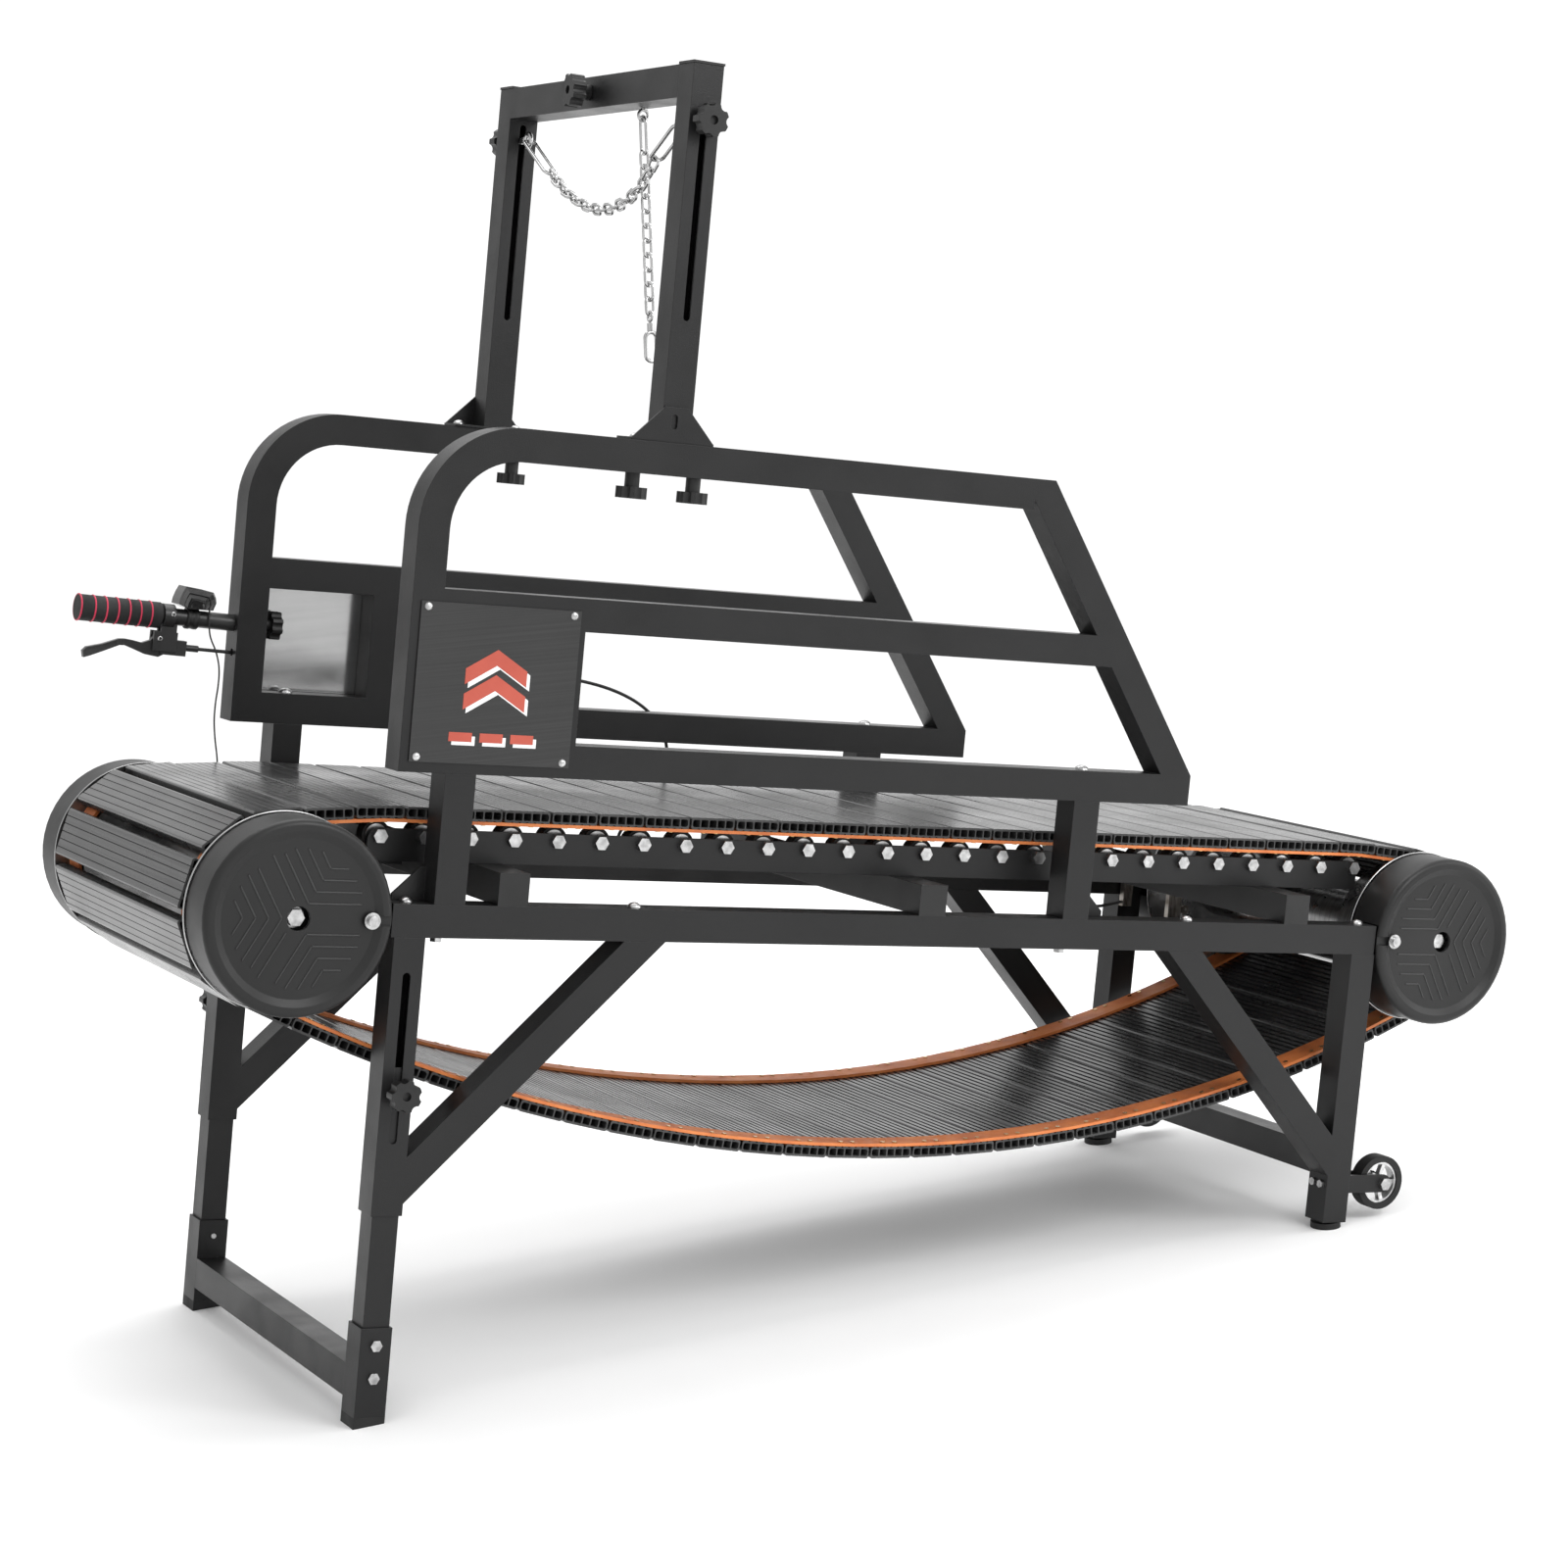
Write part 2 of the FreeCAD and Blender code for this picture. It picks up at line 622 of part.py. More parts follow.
# --- guard posts, guards and side plates -----------------------------------------
posts = [tube((x, 0, 0), ("tube", "tube", "post_height"), "z")
         for x in ("post_front", "post_rear")]

gusset_block = box(("post_front - 42", 31, 0), (42, 4, 40))
gusset_trim = doc.addObject("Part::Box", "Trim")
for prop, value in (("Length", "90"), ("Width", "8"), ("Height", "60")):
    gusset_trim.setExpression(prop, value)
gusset_trim.Placement = Placement(Vector(), Rotation(Vector(0, 1, 0), -43.6))
place(gusset_trim, ("post_front - 46", 29, 3.8))
gusset = cut(gusset_block, gusset_trim)
rear_gusset = mirror(gusset, ("(post_front + post_rear + tube) / 2", 0, 0), (1, 0, 0))
node("guard_posts", both_sides(group(posts)) + both_sides(gusset) + both_sides(rear_gusset))

shoulder_run = size("guard_rear") - size("guard_shoulder")
shoulder_rise = size("guard_top") - size("guard_low") - size("tube")
lean = math.degrees(math.atan2(shoulder_rise, shoulder_run))


def guard_frame(inset):
    """Outline tubes of the guard as one solid, drawn in by inset all round."""
    thick = "tube - 2 * %s" % inset
    low = box(("guard_front + %s" % inset, inset, "guard_low + %s" % inset),
              ("guard_rear - guard_front - 2 * %s" % inset, thick, thick))
    post = box(("guard_front + %s" % inset, inset, "guard_low + %s" % inset),
               (thick, thick, "guard_top - guard_bend - guard_low - %s" % inset))
    bend_x = "guard_front + guard_bend"
    bend_z = "guard_top - guard_bend"
    outer = rod((bend_x, inset, bend_z), "guard_bend - %s" % inset, thick, "y")
    core = rod((bend_x, "%s - 1" % inset, bend_z), "guard_bend - tube + %s" % inset,
               "tube + 2", "y")
    quarter = doc.addObject("Part::Common", "Quarter")
    quarter.Base = cut(outer, core)
    quarter.Tool = box(("guard_front", 0, bend_z), ("guard_bend", "tube", "guard_bend"))
    top = box((bend_x, inset, "guard_top - tube + %s" % inset),
              ("guard_shoulder - 30 - (%s)" % bend_x, thick, thick))
    mid = box(("guard_front + 20", inset, "guard_mid + %s" % inset),
              (1000, thick, thick))
    mid_trim = doc.addObject("Part::Common", "MidTrim")
    mid_trim.Base = mid
    lean_stop = doc.addObject("Part::Box", "Stop")
    for prop, value in (("Length", "2000"), ("Width", "80"), ("Height", "900")):
        lean_stop.setExpression(prop, value)
    lean_stop.Placement = Placement(Vector(), Rotation(Vector(0, 1, 0), -(90 - lean)))
    place(lean_stop, ("guard_rear - 10 - 2000 * cos(%f deg)" % (90 - lean), -20,
                      "guard_low + tube - 2000 * sin(%f deg)" % (90 - lean)))
    mid_trim.Tool = lean_stop
    slope = doc.addObject("Part::Box", "Slope")
    slope.setExpression("Length", cells(thick))
    slope.setExpression("Width", cells(thick))
    slope.setExpression("Height", "700")
    slope.Placement = Placement(Vector(), Rotation(Vector(0, 1, 0), -(90 - lean)))
    foot = "(tube - %s) / sin(%f deg)" % (inset, lean)
    place(slope, ("guard_rear - %s + 100 / tan(%f deg)" % (foot, lean), inset,
                  "guard_low + tube - 100"))
    slope_trim = doc.addObject("Part::Common", "SlopeTrim")
    slope_trim.Base = slope
    slope_trim.Tool = box((0, -5, "guard_low + tube - 2 * %s" % inset),
                          (1400, 60, "guard_top - guard_low - tube + %s" % inset))
    stay = box(("brace_post + %s" % inset, inset, "guard_low + tube - 2"),
               (thick, thick, "guard_mid - guard_low - tube + 4"))
    return join([low, post, quarter, top, mid_trim, slope_trim, stay])


bolt_x = ("post_front + tube / 2", "post_rear + tube / 2")
guard_holes = [rod((x, "tube / 2", "guard_low - 1"), 4.1, "tube + 2") for x in bolt_x]
guard = cut(cut(guard_frame("0"), guard_frame("wall")), group(guard_holes))
node("guard_near", [guard])
far_y = "width - tube / 2"
stud_bore = rod(("guard_front - 1", far_y, "bar_height"), 4.1, "tube + 2", "x")
cable_in = rod(("guard_front - 1", "width - 24.4", "bar_height - 38.2"), 5, 6, "x")
cable_out = rod(("guard_front + 27", "width - 5", "bar_height - 43.6"), 6.5, 8, "y")
node("guard_far", [cut(mirror(guard), group([stud_bore, cable_in, cable_out]))])

fasteners = cover_bolts[:]
for x in bolt_x:
    fasteners.append(join([dome((x, "tube / 2", "guard_low + tube"), 9.5, 6),
                           rod((x, "tube / 2", "guard_low - 20"), 4, "tube + 21")]))

plate = box(("plate_front", "-plate_thick", "plate_low"),
            ("plate_rear - plate_front", "plate_thick", "plate_top - plate_low"))
far_plate = cut(mirror(plate), cable_out)
node("side_plates", [plate, far_plate])
for x in ("plate_front + 9", "plate_rear - 9"):
    for z in ("plate_low + 6", "plate_top - 6"):
        fasteners.append(dome((x, "-plate_thick", z), 5, 2.5, "-y"))

# --- leash frame, in its own frame -----------------------------------------------
# u runs along the guards, v across the machine, w up from the top of the guards.
near_v = "-leash_face"
leash_post = tube(("-tube / 2", near_v, 3), ("tube", "tube", "leash_height - 3"), "z")
post_slot = join([box((-4.5, "-leash_face - 1", "leash_slot_low + 4.5"),
                      (9, "tube + 2", "leash_slot_top - leash_slot_low - 9")),
                  rod((0, "-leash_face - 1", "leash_slot_low + 4.5"), 4.5, "tube + 2", "y"),
                  rod((0, "-leash_face - 1", "leash_slot_top - 4.5"), 4.5, "tube + 2",
                      "y")])
middle_plane = (0, 0, 0)
slotted = cut(leash_post, post_slot)
node("leash_posts", [slotted, mirror(slotted, middle_plane)], leash_seat)
leash_bar = tube(("-tube / 2", "-leash_face + tube", "leash_height - tube"),
                 ("tube", "2 * leash_face - 2 * tube", "tube"), "y")
eye_hole = rod((13, -93, "leash_height - tube - 1"), 3.6, 6)
node("leash_bar", [cut(leash_bar, eye_hole)], leash_seat)
cap = box(("-tube / 2 - 1", "-leash_face - 1", "leash_height"), ("tube + 2", "tube + 2", 3))
leash_caps = group([cap, mirror(cap, middle_plane)])
leash_caps.Placement = leash_spot
node("end_caps", end_caps + [leash_caps])

base_plate = box((-60, near_v, 0), (110, "tube", 3))
gable = Part.makePolygon([Vector(-59, 0, 3), Vector(49, 0, 3), Vector(12, 0, 43),
                          Vector(-18, 0, 43), Vector(-59, 0, 3)])
window = [rod((-5, "-leash_face - 4", w), 4, 6, "y") for w in (20, 30)]
window.append(box((-9, "-leash_face - 4", 20), (8, 6, 10)))
gable_sketch = doc.addObject("Part::Feature", "GableOutline")
gable_sketch.Shape = Part.Face(gable)
gable_plate = doc.addObject("Part::Extrusion", "Gable")
gable_plate.Base = gable_sketch
gable_plate.Dir = Vector(0, 1, 0)
gable_plate.LengthFwd = 3
gable_plate.Solid = True
place(gable_plate, (0, "-leash_face - 3.05", 0))
bracket = join([cut(gable_plate, join(window)),
                box((-60, "-leash_face - 3.05", 0), (110, 3.05, 3)), base_plate])
node("leash_brackets", [bracket, mirror(bracket, middle_plane)], leash_seat)

bracket_bolts = []
bracket_knobs = []
for u in (-46, 36):
    v = "-leash_face + 15"
    bracket_bolts.append(dome((u, v, 3), 8, 5.5))
    bracket_knobs.append(star_knob((u, v, "-tube"), "-z", 19, 14, 17, "", 8))
node("bracket_knobs", [group(bracket_knobs), mirror(group(bracket_knobs), middle_plane)],
     leash_seat)

knob = star_knob((0, "-leash_face - 0.5", "slider_height"), "-y", 20, 17, 9, "52", 7)
node("post_knob_near", [knob], leash_seat)
knob = star_knob((0, "leash_face + 0.5", "slider_height"), "y", 20, 17, 9, "52", 7)
node("post_knob_far", [knob], leash_seat)
knob = star_knob(("-tube / 2 - 0.5", 4, "leash_height - 20"), "-x", 21, 18, 12, "", 8)
node("crossbar_knob", [knob], leash_seat)


def link(start, end, side, width, wire):
    """Chain link or shackle: straight sides with round ends, from start to end."""
    along = (end - start).normalize()
    across = (side - along * side.dot(along)).normalize()
    half = width / 2 - wire
    first = start + along * (wire + half)
    last = end - along * (wire + half)
    corners = [first + across * half, last + across * half,
               last - across * half, first - across * half]
    edges = [Part.LineSegment(corners[0], corners[1]).toShape(),
             Part.Arc(corners[1], last + along * half, corners[2]).toShape(),
             Part.LineSegment(corners[2], corners[3]).toShape(),
             Part.Arc(corners[3], first - along * half, corners[0]).toShape()]
    path = Part.Wire(edges)
    section = Part.Wire([Part.Circle(corners[0], along, wire).toShape()])
    return path.makePipeShell([section], True, True)


def chain(points, links, quarter=0):
    """Links laid head to tail along a polyline, each turned a quarter from the last."""
    spans = [(b - a).Length for a, b in zip(points, points[1:])]
    step = size("link_long") - 4 * size("link_wire") - 0.4

    def at(travel):
        for a, b, span in zip(points, points[1:], spans):
            if travel <= span:
                return a + (b - a) * (travel / span)
            travel -= span
        return b + (b - a).normalize() * travel

    margin = (sum(spans) - links * step) / 2
    made = []
    for index in range(links):
        start = at(margin + index * step)
        end = at(margin + (index + 1) * step)
        reach = (end - start).normalize()
        spare = reach * ((size("link_long") - (end - start).Length) / 2)
        upright = reach.cross(Vector(1, 0, 0))
        flat = Vector(1, 0, 0)
        odd = (index + quarter) % 2
        side = flat * 0.34 + upright * 0.94 if odd else flat * 0.94 - upright * 0.34
        made.append(link(start - spare, end + spare, side,
                         size("link_wide"), size("link_wire")))
    return made


slider_w = size("slider_height")
eye_v = size("leash_face") - 61
eyes = []
for sign in (-1, 1):
    eye = Part.makeTorus(8.5, 3, Vector(0, sign * eye_v, slider_w), Vector(1, 0, 0))
    stem = Part.makeCylinder(5.5, 8, Vector(0, sign * (eye_v + 7.5), slider_w),
                             Vector(0, sign, 0))
    bore = Part.makeCylinder(4.05, 30, Vector(0, sign * (eye_v + 9), slider_w),
                             Vector(0, sign, 0))
    eyes.append(eye.fuse(stem).cut(bore))
shape_node("tether_eyes", Part.makeCompound(eyes), leash_seat)

HOOK_FAR = Vector(2, 158, 342)
HOOK_NEAR = Vector(2, -168, 348)
DRAPE = [HOOK_NEAR, Vector(4, -128, 316), Vector(6, -82, 297), Vector(7, -35, 289),
         Vector(7, 14, 289), Vector(6, 60, 298), Vector(4, 108, 315), HOOK_FAR]
drape_span = sum((b - a).Length for a, b in zip(DRAPE, DRAPE[1:]))
link_step = size("link_long") - 4 * size("link_wire") - 0.4
drape_links = round(drape_span / link_step)
drape = chain(DRAPE, drape_links, 1)
shape_node("tether_chain", Part.makeCompound(drape), leash_seat)
slack = (drape_span - drape_links * link_step) / 2
carabiners = []
for hook, sign in ((HOOK_FAR, 1), (HOOK_NEAR, -1)):
    eye_centre = Vector(0, sign * eye_v, slider_w)
    reach = (hook - eye_centre).normalize()
    carabiners.append(link(eye_centre + reach * 0.5, hook + reach * (5.2 + slack),
                           Vector(1, 0, 0), 22, 2.4))
shape_node("tether_carabiners", Part.makeCompound(carabiners), leash_seat)

# What hangs from the cross bar hangs plumb, whatever the tilt of the machine.
plumb = tilt.inverted().multVec(Vector(0, 0, -1))
plumb = Rotation(Vector(0, 0, 1), size("leash_yaw")).multVec(plumb)
hang_top = Vector(13, -93, size("leash_height") - size("tube") - 13)
eye = Part.makeTorus(6.5, 2.2, hang_top + Vector(0, 0, 4), Vector(0, 1, 0))
stem = Part.makeCylinder(3.5, 9, hang_top + Vector(0, 0, 10.5))
eye_bolt = doc.addObject("Part::Feature", "EyeBolt")
eye_bolt.Shape = eye.fuse(stem)
clip_end = hang_top + plumb * 46
clip = link(hang_top - plumb * 4.6, clip_end, Vector(0, 1, 0), 20, 2.2)
shape_node("hang_clip", clip, leash_seat)
upper_top = clip_end - plumb * 4.6
upper_end = upper_top + plumb * 6 * link_step
upper = chain([upper_top, upper_end], 6)
shape_node("hang_chain_upper", Part.makeCompound(upper), leash_seat)
lower_end = upper_end + plumb * 5 * link_step
lower = chain([upper_end, lower_end], 5)
ring_centre = lower_end + plumb * 3.7
swivel = Part.makeTorus(6, 2, ring_centre, Vector(1, 0, 0))
swivel = swivel.fuse(Part.makeCylinder(2, 7, ring_centre + plumb * 6, plumb))
shape_node("hang_chain_lower", Part.makeCompound(lower + [swivel]), leash_seat)
barrel = Part.makeCylinder(4.5, 10, ring_centre + plumb * 8.4, plumb)
barrel = barrel.cut(Part.makeCylinder(2.06, 5.6, ring_centre + plumb * 8, plumb))
hook = link(ring_centre + plumb * 17, ring_centre + plumb * 59, Vector(1, 0, 0), 21, 2.8)
shape_node("snap_hook", barrel.fuse(hook), leash_seat)

# --- transport wheels ------------------------------------------------------------
wheel_mid = "tube / 2"
arms = []
for y in (4, 32):
    arms.append(cut(join([box(("leg_rear + tube", y, "wheel_height - 12.5"),
                              ("wheel_along - leg_rear - tube", 4, 25)),
                          rod(("wheel_along", y, "wheel_height"), 12.5, 4, "y")]),
                    rod(("wheel_along", "%d - 1" % y, "wheel_height"), 5, 6, "y")))
arms.append(box(("leg_rear + tube", 8, "wheel_height - 12.5"), (4, 24, 25)))
wheel_axle = join([hexagon(("wheel_along", -2.4, "wheel_height"), 16, 6.4, "y"),
                   rod(("wheel_along", 0, "wheel_height"), 5, 40, "y"),
                   hexagon(("wheel_along", 36, "wheel_height"), 16, 6, "y")])
fork = join(arms)
node("wheel_forks", both_sides(fork))
node("wheel_axles", both_sides(wheel_axle))
fasteners += [hexagon(("leg_rear - 4", y, "wheel_height"), 10, 4, "x") for y in (12, 29)]


def wheel_disc(radius, width, near=None):
    start = near or "%s - (%s) / 2" % (wheel_mid, width)
    return rod(("wheel_along", start, "wheel_height"), radius, width, "y")


tyre = cut(wheel_disc("wheel_radius", "wheel_width"),
           wheel_disc("wheel_radius - 9", "wheel_width + 2"))
rim = cut(wheel_disc("wheel_radius - 9", "wheel_width - 4"),
          wheel_disc("wheel_radius - 12", "wheel_width"))
spokes = [cut(rim, wheel_disc(2, 2)), cut(wheel_disc(10, "wheel_width"), wheel_disc(2, 2))]
for spoke in range(5):
    arm = turned(doc.addObject("Part::Box", "Spoke"), "z")
    arm.setExpression("Length", cells("wheel_radius - 17"))
    arm.setExpression("Width", "8")
    arm.setExpression("Height", "6")
    turn = Rotation(Vector(0, 1, 0), 72 * spoke)
    arm.Placement = Placement(Vector(), turn)
    offset = turn.multVec(Vector(7, -4, -3))
    place(arm, ("wheel_along + %f" % offset.x, "%s + %f" % (wheel_mid, offset.y),
                "wheel_height + %f" % offset.z))
    spokes.append(arm)
hub = cut(join(spokes), wheel_disc(5.1, "wheel_width + 4"))
node("wheel_tyre_near", [tyre])
node("wheel_tyre_far", [mirror(tyre)])
node("wheel_hub_near", [hub])
node("wheel_hub_far", [mirror(hub)])

# --- handlebar, brake lever and monitor, in the bar's own frame ------------------
# Its z runs out along the bar from the far guard, x points up, y across the machine.
bar_spot = Placement(
    Vector(size("guard_front"), size("width") - size("tube") / 2, size("bar_height")),
    Rotation(Vector(0, 1, 0), size("bar_rise") - 90))
bar_seat = machine.multiply(bar_spot)
bar_start = 0.45
bar_long = "guard_front - bar_end - 1 - %s" % bar_start
node("handlebar", [rod((0, 0, bar_start), "bar_radius", bar_long)], bar_seat)
grip = cut(rod((0, 0, "guard_front - bar_end - grip_long"), "grip_radius", "grip_long"),
           rod((0, 0, bar_start), "bar_radius", bar_long))
node("grip", [grip], bar_seat)
knob = star_knob(("guard_front + tube + 0.5", "width - tube / 2", "bar_height"), "x",
                 19, 14, 9, "34", 8)
node("handlebar_knob", [knob])

clamp_ring = rod((0, 0, 83), 16, 15)
neck = box((-22, -9, 78), (12, 18, 21))
fork = box((-46, -9, 76), (26, 18, 32))
housing = box((-50, -7, 62), (20, 14, 34))
barrel = rod((-39, 0, 44), 4.5, 20)
blade_slot = box((-60, -4.4, 88), (46, 8.8, 40))
bar_bore = rod((0, 0, 70), "bar_radius", 45)
cable_bore = rod((-39, 0, 40), 2.6, 30)
pin = rod(("-pivot_drop", -10, "pivot_out"), 2.5, 20, "y")
clamp = join([cut(join([clamp_ring, neck, fork, housing, barrel]),
                  group([blade_slot, bar_bore, cable_bore])), pin])
node("lever_clamp", [clamp], bar_seat)

# Upper edge of the blade out to its tip, then the lower edge back, as (out, up) points.
BLADE_TOP = [(95, -24), (104, -24), (110, -33), (121, -37.5), (133, -35.5), (144, -34.5),
             (152, -35.2), (174, -44), (194, -49.5), (199, -55)]
BLADE_UNDER = [(197, -63.5), (190, -61), (173, -53.5), (152, -43.5), (144, -43), (131, -47),
               (116, -52), (98, -54), (91, -50)]
outline = [Vector(up, -4, out) for out, up in BLADE_TOP + BLADE_UNDER]
blade = Part.Face(Part.makePolygon(outline + outline[:1])).extrude(Vector(0, 8, 0))
pin_spot = Vector(-size("pivot_drop"), -10, size("pivot_out"))
blade = blade.cut(Part.makeCylinder(2.56, 20, pin_spot, Vector(0, 1, 0)))
shape_node("brake_lever", blade, bar_seat)

case = doc.addObject("Part::Box", "Case")
for prop, value in (("Length", "24"), ("Width", "34"), ("Height", "52")):
    case.setExpression(prop, value)
place(case, (14, -17, 30.5))
doc.recompute()
case_round = doc.addObject("Part::Fillet", "CaseRound")
case_round.Base = case
case_round.Edges = [(index, 4.0, 4.0) for index in range(1, 13)]
strap_block = box((0, -8, 50), (15, 16, 16))
strap_ring = rod((0, 0, 50), 14, 16)
monitor = cut(join([case_round, strap_block, strap_ring]), rod((0, 0, 40), "bar_radius", 40))
node("monitor", [monitor], bar_seat)


def rounded_route(points):
    """Wire of straight runs joined by tangent arcs, with its arc radii."""
    edges = []
    radii = []
    tail = points[0]
    for before, corner_point, after in zip(points, points[1:], points[2:]):
        back = before - corner_point
        ahead = after - corner_point
        turn = math.pi - back.getAngle(ahead)
        reach = 0.45 * min(back.Length, ahead.Length)
        radius = reach / math.tan(turn / 2)
        radii.append(radius)
        start = corner_point + back.normalize() * reach
        end = corner_point + ahead.normalize() * reach
        bisector = (back + ahead).normalize()
        centre = corner_point + bisector * math.hypot(radius, reach)
        middle_point = centre + (corner_point - centre).normalize() * radius
        edges.append(Part.LineSegment(tail, start).toShape())
        edges.append(Part.Arc(start, middle_point, end).toShape())
        tail = end
    edges.append(Part.LineSegment(tail, points[-1]).toShape())
    return Part.Wire(edges), radii


def cable(name, points, radius):
    """Round cable along a route; prints its length, arc radii and volume check."""
    route, radii = rounded_route(points)
    direction = (points[1] - points[0]).normalize()
    section = Part.Wire([Part.Circle(points[0], direction, radius).toShape()])
    solid = route.makePipeShell([section], True, False)
    expected = math.pi * radius ** 2 * route.Length
    print("%s: length %.0f mm, volume ratio %.4f, radii %s" % (
        name, route.Length, solid.Volume / expected, [round(r) for r in radii]))
    return shape_node(name, solid, machine)


outer = size("width") + 3.5
BRAKE_ROUTE = [
    Vector(-118, 582, 247.0), Vector(-92, 582, 246.0), Vector(-66, 576, 245.6),
    Vector(-44, 583, 244), Vector(-32, outer + 1, 240), Vector(-10, outer + 5, 237),
    Vector(34, outer + 3, 236), Vector(104, outer + 4, 237), Vector(270, outer, 240),
    Vector(420, outer + 1, 239), Vector(510, outer, 227), Vector(575, outer + 1, 200),
    Vector(610, outer, 158), Vector(612, outer + 1, 104), Vector(576, outer, 56),
    Vector(541, outer + 1, 20), Vector(551, outer, -14), Vector(606, outer + 1, -23),
    Vector(760, outer, -22), Vector(1040, outer + 1, -23), Vector(1270, outer, -23),
    Vector(1330, outer + 6, -36), Vector(1346, 599, -59), Vector(1351, 573, -62),
    Vector(1361, 555, -55), Vector(1379.2, 551, -50),
]
cable("brake_cable", BRAKE_ROUTE, 2.4)

WIRE_ROUTE = [
    Vector(-97.9, 570.2, 299.3), Vector(-98.2, 570, 291.5), Vector(-98, 567.2, 284),
    Vector(-97.4, 567.6, 274), Vector(-93, 572, 262), Vector(-79, 585, 245),
    Vector(-71, 589, 223), Vector(-70.5, 590, 199), Vector(-72.5, 590, 180),
    Vector(-72.5, 591, 160), Vector(-71, 592, 145), Vector(-67, 595, 126),
    Vector(-62, 598, 108), Vector(-58, 601, 88), Vector(-55, 604, 68),
    Vector(-52, 606.5, 48), Vector(-50, 608, 28), Vector(-43, 608, 9),
    Vector(-33, 606, -10),
]
cable("monitor_wire", WIRE_ROUTE, 1.1)
node("speed_sensor", [box(("rail_front + 12", "width", -26), (26, 8, 16))])

# --- brake by the far end of the rear drum ---------------------------------------
pin_x = "brake_pin_along"
pin_z = "brake_pin_height"
strip = box(("brake_along - 7", 476, -10), (15, "width - tube - 476", 8))
ear = box(("brake_along + 5", 486, -16), (29, 3, 14))
cable_stop = box(("brake_along - 22", 546, -56), (16, 10, 54))
brake_pin = rod((pin_x, 474, pin_z), 3, 14, "y")
node("brake_mount", [join([strip, ear, cable_stop, brake_pin])])
shoe = box(("brake_pin_along - 13", 479, -62), (27, 4, 60))
pad = box(("brake_pin_along - 13", 474, -62), (3, 9, 48))
lever_eye = rod(("brake_pin_along + 22", 479, -50), 7, 4, "y")
eye_bar = box(("brake_pin_along + 8", 479, -55), (14, 4, 10))
holes = [rod((pin_x, 470, pin_z), 3.06, 16, "y"),
         rod(("brake_pin_along + 22", 478, -50), 2.8, 6, "y")]
node("brake_arm", [cut(join([shoe, pad, lever_eye, eye_bar]), group(holes))])

# --- frame fasteners -------------------------------------------------------------
for x in (-27.5, 276, 1111, 1403.5):
    fasteners.append(dome((x, "tube / 2", 0), 8.5, 6))
    fasteners.append(hexagon((x, "tube / 2", "-tube - 6"), 13, 6))
for x in (12, 905):
    fasteners.append(hexagon((x, "tube / 2 - 6", "-tube - 6"), 13, 6))
bracket_bolts = group(bracket_bolts)
bracket_set = group([bracket_bolts, mirror(bracket_bolts, middle_plane), eye_bolt])
bracket_set.Placement = leash_spot
node("frame_bolts", both_sides(group(fasteners)) + [bracket_set])

# --- checks and export -----------------------------------------------------------
doc.recompute()
for item in doc.Objects:
    if any(flag in item.State for flag in ("Invalid", "Error")):
        raise RuntimeError("failed object: %s (%s)" % (item.Name, item.Label))
for item in nodes:
    if item.Shape.isNull() or not item.Shape.isValid():
        raise RuntimeError("bad shape: " + item.Label)

os.makedirs("parts", exist_ok=True)
for item in nodes:
    item.Shape.exportStep("parts/%s.step" % item.Label)
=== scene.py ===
"""Manual slat treadmill for dogs: looks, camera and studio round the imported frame."""

import math

import bmesh
import bpy
from mathutils import Matrix, Vector


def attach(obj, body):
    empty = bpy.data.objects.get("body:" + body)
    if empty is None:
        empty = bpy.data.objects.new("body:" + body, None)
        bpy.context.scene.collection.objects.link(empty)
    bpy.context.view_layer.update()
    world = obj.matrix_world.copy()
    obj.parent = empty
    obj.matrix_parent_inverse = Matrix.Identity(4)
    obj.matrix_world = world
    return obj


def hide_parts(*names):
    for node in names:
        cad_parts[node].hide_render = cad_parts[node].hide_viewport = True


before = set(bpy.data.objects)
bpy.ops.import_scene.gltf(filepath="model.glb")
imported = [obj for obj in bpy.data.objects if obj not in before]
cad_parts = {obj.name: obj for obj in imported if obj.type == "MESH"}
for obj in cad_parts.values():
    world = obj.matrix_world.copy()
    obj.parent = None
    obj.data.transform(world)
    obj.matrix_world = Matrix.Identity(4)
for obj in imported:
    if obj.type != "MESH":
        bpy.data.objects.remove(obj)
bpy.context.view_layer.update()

# The machine stands nose up. In its own frame, in millimetres, x runs along the deck
# from the front axle side, y away from the near guard and z square to the deck.
TILT = math.radians(8.08)
TURN = Matrix.Rotation(TILT, 3, "Y")
ORIGIN = Vector((675.4, 301.0, -621.0))
BAR_TILT = math.radians(2.1)
AXLE_HEIGHT = -20
DRUMS = (("front", -170), ("rear", 1540))
OUTER_FACES = (("near", -2, -1), ("far", 604, 1))


def at(x, y, z):
    """Point of the machine frame, in the row frame and in metres."""
    return (TURN @ Vector((x, y, z)) - ORIGIN) / 1000


def heading(x, y, z):
    """Direction of the machine frame, in the row frame."""
    return TURN @ Vector((x, y, z))


def on_bar(out, up, across=0.0):
    """Point beside the handlebar: out along it, up from it and across the machine."""
    return at(-60.4 - out * math.cos(BAR_TILT) + up * math.sin(BAR_TILT),
              582 + across,
              284 + out * math.sin(BAR_TILT) + up * math.cos(BAR_TILT))


